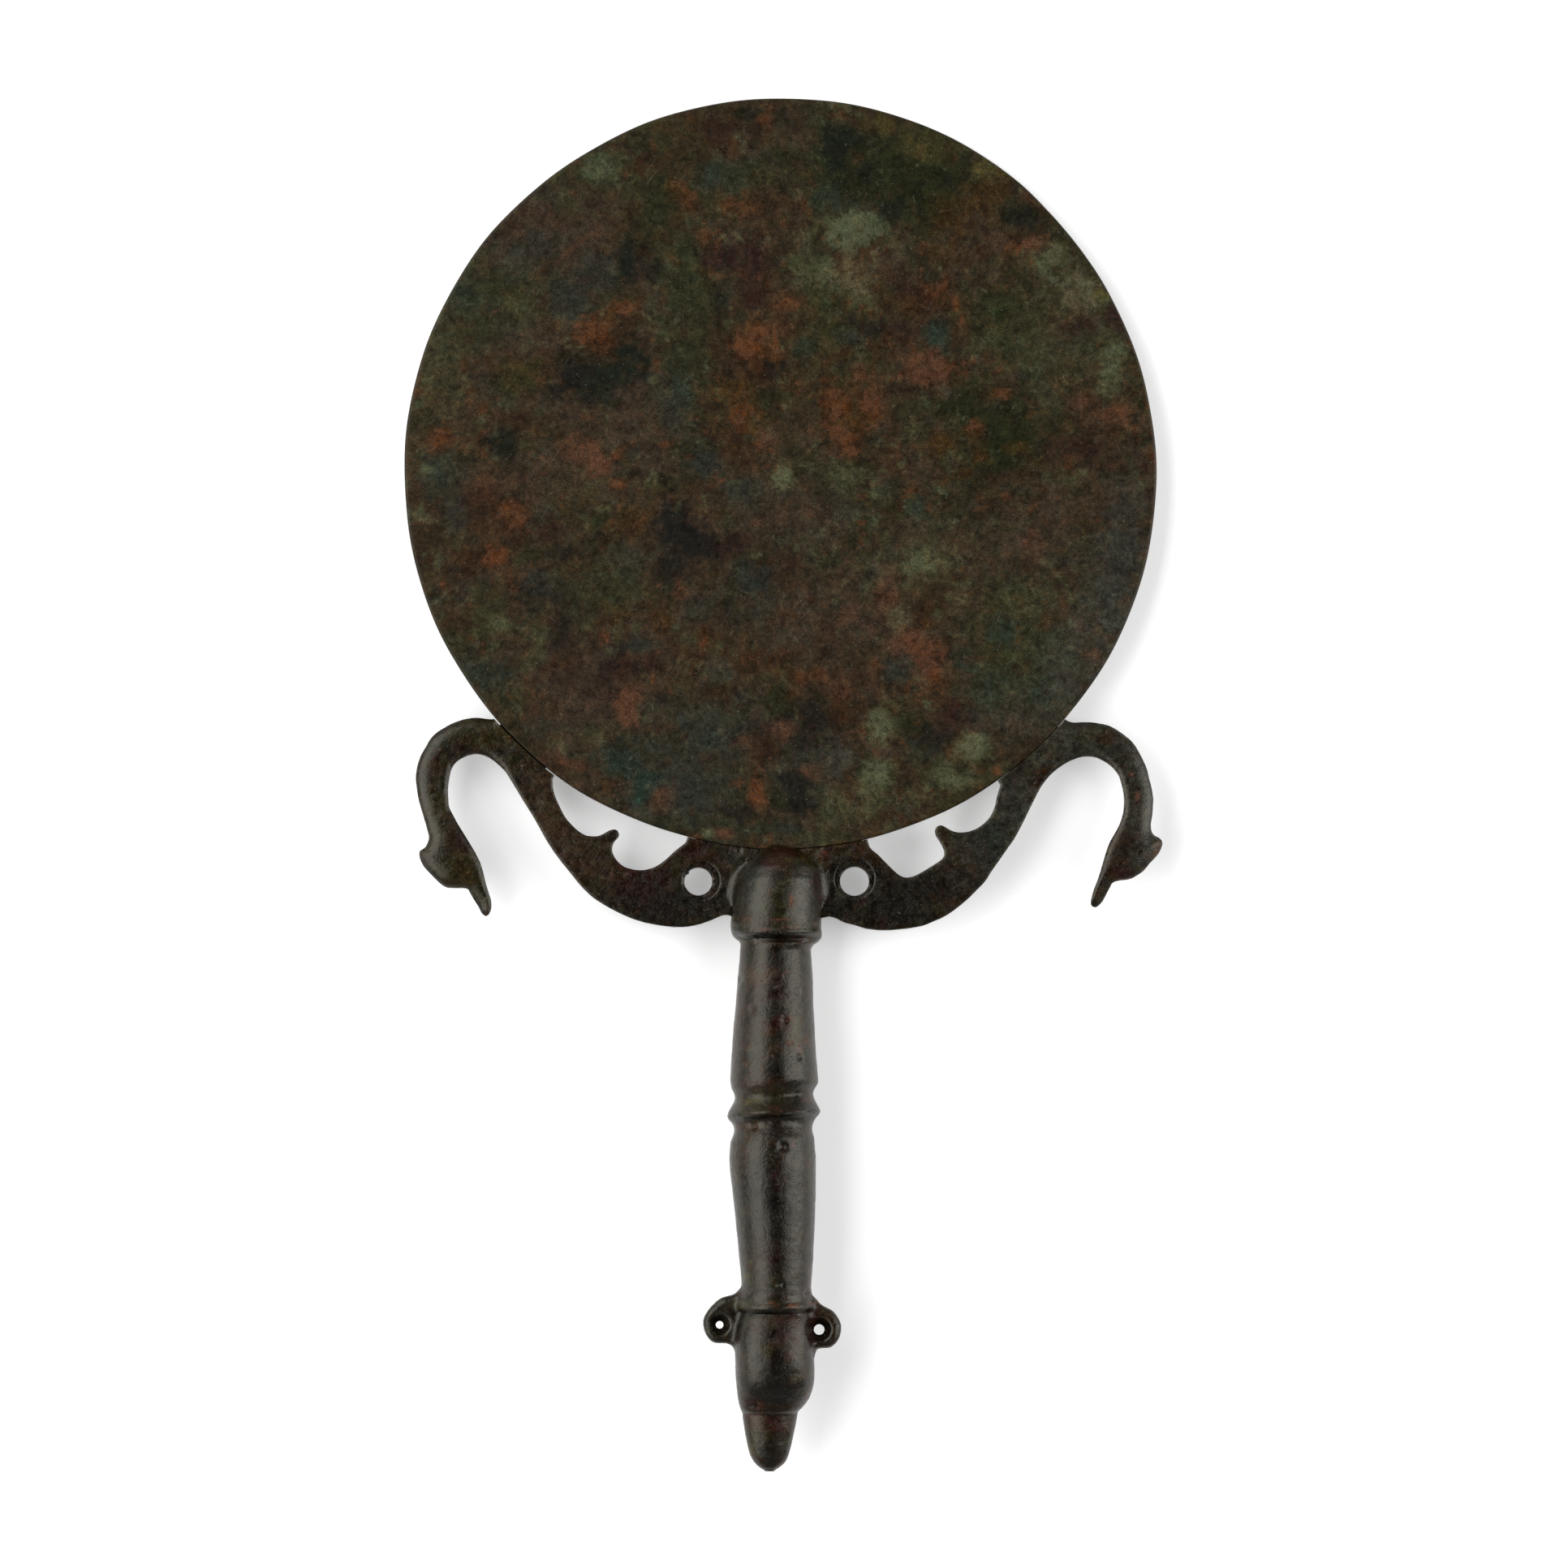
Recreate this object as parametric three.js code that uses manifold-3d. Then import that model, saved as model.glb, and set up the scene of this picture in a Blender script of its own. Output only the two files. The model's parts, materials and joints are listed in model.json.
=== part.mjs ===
// Hand mirror in bronze: a round mirror plate held by a separately cast handle.
// The handle casting is a pierced plate with two arms that end in down-looking
// swan heads, a half-round socket, a round moulded grip, two pierced lugs and an
// animal-head finial. Millimetres, +Z up. The mirror lies on its back: the far rim
// of the plate and a small flat under the socket touch the surface.

import * as THREE from 'three';
import { mergeVertices } from 'three/addons/utils/BufferGeometryUtils.js';
import Module from 'manifold-3d';

// ---------------------------------------------------------------- dimensions
const DISC_RADIUS = 75.0;          // mirror plate
const DISC_THICKNESS = 2.6;
const DISC_EDGE_BREAK = 0.5;       // small bevel round both edges
const DISC_SIDES = 96;
const DISC_X = -0.6;               // plate centre, measured from the middle of the mirror
const DISC_Y = 62.0;

const FIT_GAP = 0.3;               // clearance between plate and casting
const LEDGE_DEPTH = 5.0;           // how far the casting laps behind the plate
const LEDGE_THICKNESS = 2.1;

const PLATE_HALF = 2.0;            // half thickness of the pierced plate and arms
const PLATE_BEVEL = 0.7;
const HEAD_HALF = 2.7;             // half thickness at the swans' heads
const HEAD_BEVEL = 1.7;
const PLATE_Z = DISC_THICKNESS - PLATE_HALF;   // arms finish flush with the plate's front

const HANDLE_Z = 1.0;              // height of the grip's axis over the plate's back
const GRIP_DEPTH_RATIO = 0.95;     // grip is a little flatter than it is wide
const GRIP_SIDES = 24;

const PLATE_HOLE_R = [2.85, 2.95]; // round holes left and right of the socket
const PLATE_HOLE = [[-16.9, -19.45], [14.2, -19.45]];
const HOLE_RECESS_R = 3.7;
const HOLE_RECESS_DEPTH = 0.6;

// Lower inner corner of each crescent opening, where it runs down beside the round hole.
const OPENING_CORNER = [
  [[-18.7, -10.7], [-19.2, -11.8], [-21.3, -13.6], [-23.6, -15.6], [-25.8, -17.0], [-29.0, -17.5], [-28.0, -10.5]],
  [[16.9, -11.1], [17.3, -12.5], [18.8, -14.0], [22.8, -17.9], [24.6, -18.8], [26.9, -18.2], [27.5, -11.0]],
];
const LUG_HALF = 2.2;              // half thickness of the pierced lugs
const FLAT_CUT = 0.75;             // how much the socket's underside is flattened

// ---------------------------------------------------------------- stations
// Arms, as a centre line with half widths: [x, y, half width, thickness 0..1],
// where 0 is the flat plate and 1 is the rounder head. They start inside the socket,
// run out along the lower edge, rise to the neck's crown, and come down to the beak.
const LEFT_ARM = [
  [0.0, -19.3, 6.6, 0], [-7.0, -19.1, 6.8, 0], [-12.0, -19.1, 7.0, 0], [-15.4, -19.3, 7.9, 0],
  [-18.6, -19.9, 8.9, 0], [-20.9, -21.1, 7.4, 0], [-23.4, -22.0, 6.3, 0], [-25.7, -22.5, 5.7, 0],
  [-31.2, -21.4, 4.6, 0], [-36.1, -18.5, 4.35, 0], [-39.8, -14.0, 4.3, 0], [-45.1, -9.2, 2.95, 0],
  [-48.2, -3.5, 2.9, 0], [-50.7, 2.7, 3.9, 0.1], [-54.3, 7.2, 4.3, 0.2], [-61.3, 9.6, 3.6, 0.35],
  [-67.0, 7.4, 3.5, 0.5], [-69.7, 2.5, 3.4, 0.6], [-69.6, -3.1, 3.0, 0.7], [-67.7, -8.8, 3.1, 0.85],
  [-66.5, -12.2, 4.1, 1], [-65.6, -15.2, 5.0, 1], [-63.9, -17.6, 4.3, 1], [-61.6, -19.9, 2.2, 0.8],
  [-60.3, -22.3, 1.7, 0.5], [-59.2, -24.6, 1.3, 0.3], [-58.8, -26.2, 0.8, 0.1],
];
const RIGHT_ARM = [
  [-1.0, -19.3, 6.6, 0], [5.0, -19.2, 6.8, 0], [9.2, -19.4, 7.0, 0], [12.1, -19.5, 7.6, 0],
  [16.3, -20.1, 8.7, 0], [18.7, -21.8, 7.1, 0], [20.9, -22.9, 6.2, 0], [24.9, -23.8, 5.0, 0],
  [31.3, -21.3, 5.0, 0], [36.7, -16.1, 4.9, 0], [40.7, -12.1, 4.0, 0], [44.8, -6.5, 3.3, 0],
  [47.1, -0.2, 3.9, 0], [50.8, 4.5, 4.2, 0.1], [55.3, 8.1, 4.3, 0.2], [62.3, 9.0, 3.3, 0.35],
  [67.7, 5.8, 3.15, 0.5], [70.2, 0.8, 2.9, 0.6], [70.8, -4.8, 3.0, 0.7], [70.4, -9.4, 3.4, 0.85],
  [69.6, -12.4, 4.1, 1], [68.4, -15.3, 4.2, 1], [66.4, -17.5, 2.8, 1], [64.5, -19.4, 1.8, 0.8],
  [63.5, -21.5, 1.5, 0.5], [62.5, -23.4, 1.1, 0.3], [62.0, -24.6, 0.7, 0.1],
];
// Thorn-like spurs that stand into the two crescent openings.
const LEFT_SPUR = [[-37.6, -14.6, 2.9, 0], [-35.9, -12.2, 1.8, 0], [-34.3, -10.7, 1.1, 0], [-33.3, -9.7, 0.6, 0]];
const RIGHT_SPUR = [[37.2, -14.2, 2.8, 0], [34.6, -11.9, 1.8, 0], [32.2, -10.1, 1.2, 0], [30.9, -9.0, 0.7, 0]];
// Crest at the back of each swan's crown: [x, y, radius].
const LEFT_CREST = [-70.7, -14.3, 1.6];
const RIGHT_CREST = [73.9, -12.5, 1.8];

// Socket, a half-round bulge with an arched upper end: [y, centre x, radius].
const SOCKET = [
  [-12.3, -0.4, 2.9], [-12.9, -0.5, 4.6], [-14.2, -0.6, 6.1], [-16.2, -0.7, 7.6], [-18.6, -0.9, 8.7],
  [-21.6, -1.0, 9.15], [-25.0, -1.0, 9.2], [-28.0, -1.1, 9.0], [-30.2, -1.2, 9.0], [-30.9, -1.2, 8.4],
];
// Grip, a turned profile with a small bend: [y, centre x, radius].
const GRIP = [
  [-27.0, -1.2, 6.4], [-31.2, -1.4, 7.1], [-33.4, -1.5, 6.95], [-36.0, -1.6, 7.25], [-41.0, -1.6, 7.6],
  [-47.5, -1.8, 7.95], [-52.9, -1.9, 8.25], [-58.6, -1.8, 8.75], [-60.2, -2.0, 8.45], [-61.5, -1.8, 7.75],
  [-63.0, -1.7, 7.95], [-64.4, -1.8, 8.5], [-66.1, -2.3, 9.15], [-67.5, -2.2, 8.2], [-69.0, -2.1, 7.55],
  [-70.4, -2.0, 7.85], [-72.2, -2.1, 8.45], [-75.9, -2.1, 8.45], [-81.2, -2.0, 8.15], [-87.5, -1.7, 7.65],
  [-94.0, -1.5, 7.15], [-100.0, -1.5, 6.8], [-101.6, -1.7, 7.2], [-103.0, -1.8, 7.9], [-104.4, -1.8, 7.3],
];
// Finial, a smooth animal head with a short blunt muzzle: [y, centre x, half width, half depth, axis z].
const FINIAL = [
  [-103.6, -1.65, 7.06, 6.6, 1], [-107, -1.65, 7.56, 7, 1], [-112.9, -1.55, 7.81, 7.1, 0.9],
  [-118, -1.55, 7.76, 6.9, 0.6], [-121.8, -1.85, 7.16, 6.2, 0.2], [-124.3, -2.25, 6.26, 5.3, -0.2],
  [-125.9, -2.55, 5.46, 4.5, -0.5], [-129, -2.65, 4.81, 3.9, -0.8], [-132.2, -2.55, 4.16, 3.4, -1],
  [-134.8, -2.55, 3.16, 2.7, -1], [-136.2, -2.55, 1.86, 1.6, -1], [-136.8, -2.55, 0.66, 0.6, -1],
];
// Lugs: [centre x, centre y, half width, half height, hole x, hole y, hole radius].
const LUGS = [
  [-12.0, -107.0, 3.9, 4.6, -12.6, -107.6, 0.85],
  [7.2, -107.9, 4.3, 4.5, 7.2, -108.6, 1.1],
];

// ---------------------------------------------------------------- helpers
const wasm = await Module();
wasm.setup();

function solid(geometry) {
  const g = geometry.clone();
  g.deleteAttribute('normal');
  g.deleteAttribute('uv');
  const m = mergeVertices(g, 1e-5);
  return new wasm.Manifold(new wasm.Mesh({
    numProp: 3,
    vertProperties: Float32Array.from(m.attributes.position.array),
    triVerts: Uint32Array.from(m.index.array),
  }));
}

function geometryOf(manifold) {
  const mesh = manifold.getMesh();
  const g = new THREE.BufferGeometry();
  g.setAttribute('position', new THREE.BufferAttribute(Float32Array.from(mesh.vertProperties), 3));
  g.setIndex(new THREE.BufferAttribute(Uint32Array.from(mesh.triVerts), 1));
  g.computeVertexNormals();
  return g;
}

function signedVolume(pos, idx) {
  let v = 0;
  for (let i = 0; i < idx.length; i += 3) {
    const a = pos[idx[i]], b = pos[idx[i + 1]], c = pos[idx[i + 2]];
    v += a.dot(new THREE.Vector3().crossVectors(b, c)) / 6;
  }
  return v;
}

// A closed skin over rings of equal count, with a fan on each end.
function loft(rings) {
  const n = rings[0].length;
  const pos = rings.flat();
  const idx = [];
  for (let r = 0; r + 1 < rings.length; r++) {
    for (let k = 0; k < n; k++) {
      const a = r * n + k, b = r * n + (k + 1) % n, c = a + n, d = b + n;
      idx.push(a, b, d, a, d, c);
    }
  }
  const last = (rings.length - 1) * n;
  for (let k = 1; k + 1 < n; k++) {
    idx.push(0, k + 1, k);
    idx.push(last, last + k, last + k + 1);
  }
  if (signedVolume(pos, idx) < 0) {
    for (let i = 0; i < idx.length; i += 3) [idx[i + 1], idx[i + 2]] = [idx[i + 2], idx[i + 1]];
  }
  const g = new THREE.BufferGeometry();
  g.setAttribute('position', new THREE.BufferAttribute(new Float32Array(pos.flatMap((p) => [p.x, p.y, p.z])), 3));
  g.setIndex(idx);
  return g;
}

// Smooth values between stations; every column is interpolated the same way.
function smooth(stations, steps) {
  const cols = stations[0].length;
  const at = (i, c) => stations[Math.min(Math.max(i, 0), stations.length - 1)][c];
  const out = [];
  for (let i = 0; i + 1 < stations.length; i++) {
    for (let s = 0; s < steps; s++) {
      const t = s / steps, row = [];
      for (let c = 0; c < cols; c++) {
        const p0 = at(i - 1, c), p1 = at(i, c), p2 = at(i + 1, c), p3 = at(i + 2, c);
        row.push(0.5 * (2 * p1 + (p2 - p0) * t + (2 * p0 - 5 * p1 + 4 * p2 - p3) * t * t
          + (3 * p1 - p0 - 3 * p2 + p3) * t * t * t));
      }
      out.push(row);
    }
  }
  out.push(stations[stations.length - 1]);
  return out;
}

// A flat bar with bevelled edges that follows a centre line in the plate's plane.
function arm(stations, steps) {
  const rows = smooth(stations, steps);
  return loft(rows.map(([x, y, w, round], i) => {
    const a = rows[Math.max(i - 1, 0)], b = rows[Math.min(i + 1, rows.length - 1)];
    const t = new THREE.Vector2(b[0] - a[0], b[1] - a[1]).normalize();
    const h = THREE.MathUtils.lerp(PLATE_HALF, HEAD_HALF, round);
    const bevel = Math.min(THREE.MathUtils.lerp(PLATE_BEVEL, HEAD_BEVEL, round), w * 0.6);
    const profile = [[w, -h + bevel], [w, h - bevel], [w - bevel, h], [-w + bevel, h],
      [-w, h - bevel], [-w, -h + bevel], [-w + bevel, -h], [w - bevel, -h]];
    return profile.map(([u, v]) => new THREE.Vector3(x - t.y * u, y + t.x * u, PLATE_Z + v));
  }));
}

// A round bar along -Y: each station gives y, centre x, half width, half depth and axis z.
function bar(rows) {
  return loft(rows.map(([y, x, rx, rz, z]) => Array.from({ length: GRIP_SIDES }, (_, k) => {
    const a = (k + 0.5) / GRIP_SIDES * Math.PI * 2;
    return new THREE.Vector3(x + rx * Math.cos(a), y, z + rz * Math.sin(a));
  })));
}

const turned = (stations, steps) => smooth(stations, steps)
  .map(([y, x, r]) => [y, x, r, r * GRIP_DEPTH_RATIO, HANDLE_Z]);

function cylinder(x, y, radius, z0, z1, sides) {
  const g = new THREE.CylinderGeometry(radius, radius, z1 - z0, sides);
  g.rotateX(Math.PI / 2);
  g.translate(x, y, (z0 + z1) / 2);
  return g;
}

// A flat lug: an ellipse with bevelled edges.
function lug([x, y, rx, ry]) {
  const shape = new THREE.Shape();
  const b = 0.8;
  shape.absellipse(x, y, rx - b, ry - b, 0, Math.PI * 2, false, 0);
  const g = new THREE.ExtrudeGeometry(shape, {
    depth: 2 * (LUG_HALF - b), bevelEnabled: true, bevelThickness: b, bevelSize: b, bevelSegments: 2,
    curveSegments: 9,
  });
  g.translate(0, 0, HANDLE_Z - LUG_HALF + b);
  return g;
}

// Part of a ring behind the plate's edge, between two angles in degrees.
function ledge(fromDeg, toDeg) {
  const steps = Math.max(4, Math.round((toDeg - fromDeg) / 2.5));
  const inner = DISC_RADIUS - LEDGE_DEPTH, outer = DISC_RADIUS + 1.6, b = 0.6;
  const z1 = -FIT_GAP, z0 = z1 - LEDGE_THICKNESS;
  const profile = [[inner + b, z0], [outer, z0], [outer, z1], [inner, z1], [inner, z0 + b]];
  return loft(Array.from({ length: steps + 1 }, (_, i) => {
    const a = THREE.MathUtils.degToRad(THREE.MathUtils.lerp(fromDeg, toDeg, i / steps));
    return profile.map(([r, z]) => new THREE.Vector3(DISC_X + r * Math.cos(a), DISC_Y + r * Math.sin(a), z));
  }));
}

// ---------------------------------------------------------------- mirror plate
const discOuter = DISC_RADIUS / Math.cos(Math.PI / DISC_SIDES / 2);
const discProfile = [
  [0, 0], [discOuter - DISC_EDGE_BREAK, 0], [discOuter, DISC_EDGE_BREAK],
  [discOuter, DISC_THICKNESS - DISC_EDGE_BREAK], [discOuter - DISC_EDGE_BREAK, DISC_THICKNESS], [0, DISC_THICKNESS],
].map(([r, z]) => new THREE.Vector2(r, z));
const discGeometry = new THREE.LatheGeometry(discProfile, DISC_SIDES);
discGeometry.rotateX(Math.PI / 2);                    // lathe axis to Z
discGeometry.rotateZ(Math.PI / DISC_SIDES);           // a facet, not a corner, faces the far end
discGeometry.translate(DISC_X, DISC_Y, 0);

// ---------------------------------------------------------------- handle casting
const pieces = [
  arm(LEFT_ARM, 2), arm(RIGHT_ARM, 2), arm(LEFT_SPUR, 3), arm(RIGHT_SPUR, 3),
  bar(turned(SOCKET, 2)), bar(turned(GRIP, 2)), bar(smooth(FINIAL, 2)),
  lug(LUGS[0]), lug(LUGS[1]),
  ledge(-138, -128.5), ledge(-103, -77.5), ledge(-52.5, -42.5),
];
for (const [x, y, r] of [LEFT_CREST, RIGHT_CREST]) {
  const g = new THREE.SphereGeometry(1, 12, 8);
  g.scale(r, r, 1.9);
  g.translate(x, y, PLATE_Z);
  pieces.push(g);
}
let handle = pieces.map(solid).reduce((a, b) => a.add(b));

// room for the mirror plate's edge
handle = handle.subtract(solid(cylinder(DISC_X, DISC_Y, DISC_RADIUS + FIT_GAP, -FIT_GAP, DISC_THICKNESS + 8, 120)));
// round holes beside the socket, each in a shallow recess
PLATE_HOLE.forEach(([x, y], i) => {
  handle = handle.subtract(solid(cylinder(x, y, PLATE_HOLE_R[i], -8, 8, 24)));
  handle = handle.subtract(solid(cylinder(x, y, HOLE_RECESS_R, DISC_THICKNESS - HOLE_RECESS_DEPTH, 4, 24)));
});
// inner corners of the crescent openings
for (const corner of OPENING_CORNER) {
  const outline = new THREE.Shape(corner.map(([x, y]) => new THREE.Vector2(x, y)));
  const g = new THREE.ExtrudeGeometry(outline, { depth: 20, bevelEnabled: false });
  g.translate(0, 0, -10);
  handle = handle.subtract(solid(g));
}
// lug holes
for (const [, , , , hx, hy, hr] of LUGS) {
  handle = handle.subtract(solid(cylinder(hx, hy, hr, -10, 12, 14)));
}

// ---------------------------------------------------------------- lying on its back
// The plane through the far rim and the socket's flat is the surface.
const socketBottom = HANDLE_Z - 9.2 * GRIP_DEPTH_RATIO + FLAT_CUT;
const farY = DISC_Y + DISC_RADIUS - DISC_EDGE_BREAK;
const flatY = -25.0;
const lean = Math.atan2(-socketBottom, farY - flatY);

const tilted = new THREE.Matrix4().makeRotationX(-lean);
const restZ = farY * Math.sin(-lean);                 // height of the far rim once leaned
const under = new THREE.BoxGeometry(400, 400, 40);
under.translate(0, 0, restZ - 20);
under.applyMatrix4(tilted.clone().invert());
handle = handle.subtract(solid(under));

const bronze = (color, roughness) => new THREE.MeshStandardMaterial({ color, roughness, metalness: 0.85 });
const discMesh = new THREE.Mesh(discGeometry, bronze(0x3a3128, 0.6));
discMesh.name = 'mirror_disc';
const handleMesh = new THREE.Mesh(geometryOf(handle), bronze(0x3d382c, 0.55));
handleMesh.name = 'handle';

const mirror = new THREE.Group();
mirror.add(discMesh, handleMesh);
mirror.rotation.x = -lean;

const laid = new THREE.Group();
laid.add(mirror);
laid.updateMatrixWorld(true);
const box = new THREE.Box3();
for (const m of [discMesh, handleMesh]) {
  const p = m.geometry.attributes.position, v = new THREE.Vector3();
  for (let i = 0; i < p.count; i++) box.expandByPoint(v.fromBufferAttribute(p, i).applyMatrix4(m.matrixWorld));
}
laid.position.set(-(box.min.x + box.max.x) / 2, -(box.min.y + box.max.y) / 2, -box.min.z);

export default laid;
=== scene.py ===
# An etruscan hand mirror in bronze, lying on its back: a plain round plate held by a cast
# handle whose two arms end in swans' heads, with a ringed grip and an animal-head end.
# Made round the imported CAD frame. Shapes are written flat, in millimetres, with the plate's
# back on z = 0 and the grip along -Y, and are then leaned as the CAD part lies.

import json
import math

import bpy
import numpy as np
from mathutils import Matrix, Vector


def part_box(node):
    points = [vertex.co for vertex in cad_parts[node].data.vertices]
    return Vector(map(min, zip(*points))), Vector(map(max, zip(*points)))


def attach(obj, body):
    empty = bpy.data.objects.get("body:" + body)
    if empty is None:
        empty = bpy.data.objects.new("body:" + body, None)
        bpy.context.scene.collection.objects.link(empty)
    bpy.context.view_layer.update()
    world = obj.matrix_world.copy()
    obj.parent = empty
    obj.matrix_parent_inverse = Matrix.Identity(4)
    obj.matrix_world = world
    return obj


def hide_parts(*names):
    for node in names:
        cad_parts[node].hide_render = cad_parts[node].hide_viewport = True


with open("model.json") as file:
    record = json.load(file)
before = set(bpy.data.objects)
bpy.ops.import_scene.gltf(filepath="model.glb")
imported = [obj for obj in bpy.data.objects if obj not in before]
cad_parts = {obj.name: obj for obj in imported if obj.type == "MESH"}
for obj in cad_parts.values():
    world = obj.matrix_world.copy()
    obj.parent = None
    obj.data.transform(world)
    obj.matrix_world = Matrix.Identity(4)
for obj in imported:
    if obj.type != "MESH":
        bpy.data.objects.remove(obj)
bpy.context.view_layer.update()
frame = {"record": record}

# ------------------------------------------------------------------ where the mirror lies
DISC_X, DISC_Y = -0.6, 62.0          # plate centre
DISC_R = 75.0
DISC_T = 2.6                         # plate thickness
AXIS_Z = 1.0                         # height of the grip's axis over the plate's back

axis = next(m for m in frame["record"]["mounts"] if abs(m["axis"][1]) > 1e-4)["axis"]
LEAN = math.atan2(abs(axis[1]), abs(axis[2]))
CL, SL = math.cos(LEAN), math.sin(LEAN)
d_lo, d_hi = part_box("mirror_disc")
mid = [(a + b) * 500 for a, b in zip(d_lo, d_hi)]
TX = mid[0] - DISC_X
TY = mid[1] - (DISC_Y * CL + DISC_T / 2 * SL)
TZ = mid[2] - (-DISC_Y * SL + DISC_T / 2 * CL)


def to_world(p):
    """Flat millimetres to the row frame in metres."""
    x, y, z = p[:, 0], p[:, 1], p[:, 2]
    return np.stack([TX + x, TY + y * CL + z * SL, TZ - y * SL + z * CL], -1) * 0.001


def lift(y, z):
    """Height over the floor, in millimetres, of a flat point."""
    return TZ - y * SL + z * CL


# ------------------------------------------------------------------ small maths
def step(a, b, x):
    t = np.clip((x - a) / (b - a), 0, 1)
    return t * t * (3 - 2 * t)


def smin(a, b, k):
    h = np.clip(0.5 + 0.5 * (b - a) / k, 0, 1)
    return b + (a - b) * h - k * h * (1 - h)


def smax(a, b, k):
    return -smin(-a, -b, k)


def hash01(ix, iy, iz, seed):
    h = (ix.astype(np.uint32) * np.uint32(374761393) + iy.astype(np.uint32) * np.uint32(668265263)
         + iz.astype(np.uint32) * np.uint32(2246822519) + np.uint32(seed * 3266489917 % 4294967296))
    h = (h ^ (h >> np.uint32(13))) * np.uint32(1274126177)
    h = (h ^ (h >> np.uint32(16))) * np.uint32(2654435761)
    h = h ^ (h >> np.uint32(15))
    return h.astype(np.float64) / 4294967296.0


def noise(p, size, seed):
    """Value noise in -1..1 with blobs of about that size in millimetres."""
    q = p / size + 1000.0
    i = np.floor(q).astype(np.int64)
    f = q - i
    f = f * f * f * (f * (f * 6 - 15) + 10)
    out = np.zeros(len(p))
    for cx in (0, 1):
        for cy in (0, 1):
            for cz in (0, 1):
                w = (np.where(cx, f[:, 0], 1 - f[:, 0]) * np.where(cy, f[:, 1], 1 - f[:, 1])
                     * np.where(cz, f[:, 2], 1 - f[:, 2]))
                out += w * hash01(i[:, 0] + cx, i[:, 1] + cy, i[:, 2] + cz, seed)
    return out * 2 - 1


def fbm(p, size, seed, octaves=4, fall=0.55):
    out, amp, total = np.zeros(len(p)), 1.0, 0.0
    for o in range(octaves):
        out += amp * noise(p, size / 2 ** o, seed + 17 * o)
        total += amp
        amp *= fall
    return out / total


def curve(points, closed, spacing=0.7):
    """Centripetal Catmull-Rom through the points."""
    p = np.array(points, float)
    n = len(p)
    out = []
    for i in range(n if closed else n - 1):
        if closed:
            a, b, c, d = p[(i - 1) % n], p[i], p[(i + 1) % n], p[(i + 2) % n]
        else:
            b, c = p[i], p[i + 1]
            a = p[i - 1] if i else 2 * b - c
            d = p[i + 2] if i + 2 < n else 2 * c - b
        t1 = max(np.hypot(*(b - a)), 1e-6) ** 0.5
        t2 = t1 + max(np.hypot(*(c - b)), 1e-6) ** 0.5
        t3 = t2 + max(np.hypot(*(d - c)), 1e-6) ** 0.5
        k = max(2, int(math.ceil(np.hypot(*(c - b)) / spacing)))
        t = (t1 + (t2 - t1) * np.arange(k) / k)[:, None]
        A1 = (t1 - t) / t1 * a + t / t1 * b
        A2 = (t2 - t) / (t2 - t1) * b + (t - t1) / (t2 - t1) * c
        A3 = (t3 - t) / (t3 - t2) * c + (t - t2) / (t3 - t2) * d
        B1 = (t2 - t) / t2 * A1 + t / t2 * A2
        B2 = (t3 - t) / (t3 - t1) * A2 + (t - t1) / (t3 - t1) * A3
        out.append((t2 - t) / (t2 - t1) * B1 + (t - t1) / (t2 - t1) * B2)
    if not closed:
        out.append(p[-1:])
    return np.concatenate(out)


def distance(px, py, line, closed):
    a = line if closed else line[:-1]
    b = np.roll(line, -1, 0) if closed else line[1:]
    best = np.full(px.shape, 1e6)
    for (ax, ay), (bx, by) in zip(a, b):
        dx, dy = bx - ax, by - ay
        ex, ey = px - ax, py - ay
        t = np.clip((ex * dx + ey * dy) / max(dx * dx + dy * dy, 1e-12), 0, 1)
        best = np.minimum(best, (ex - t * dx) ** 2 + (ey - t * dy) ** 2)
    return np.sqrt(best)


def inside(px, py, loop):
    odd = np.zeros(px.shape, bool)
    for (ax, ay), (bx, by) in zip(loop, np.roll(loop, -1, 0)):
        if ay != by:
            odd ^= ((ay > py) != (by > py)) & (px < ax + (py - ay) / (by - ay) * (bx - ax))
    return odd


class Plan:
    """A field over the flat plane, read between its grid points."""

    def __init__(self, x0, x1, y0, y1, h):
        self.x0, self.y0, self.h = x0, y0, h
        self.nx, self.ny = int((x1 - x0) / h) + 2, int((y1 - y0) / h) + 2
        self.gx, self.gy = np.meshgrid(x0 + h * np.arange(self.nx), y0 + h * np.arange(self.ny), indexing="ij")

    def read(self, fields, x, y):
        u = np.clip((x - self.x0) / self.h, 0, self.nx - 1.001)
        v = np.clip((y - self.y0) / self.h, 0, self.ny - 1.001)
        i, j = u.astype(int), v.astype(int)
        u, v = u - i, v - j
        return [f[i, j] * (1 - u) * (1 - v) + f[i + 1, j] * u * (1 - v)
                + f[i, j + 1] * (1 - u) * v + f[i + 1, j + 1] * u * v for f in fields]

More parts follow.
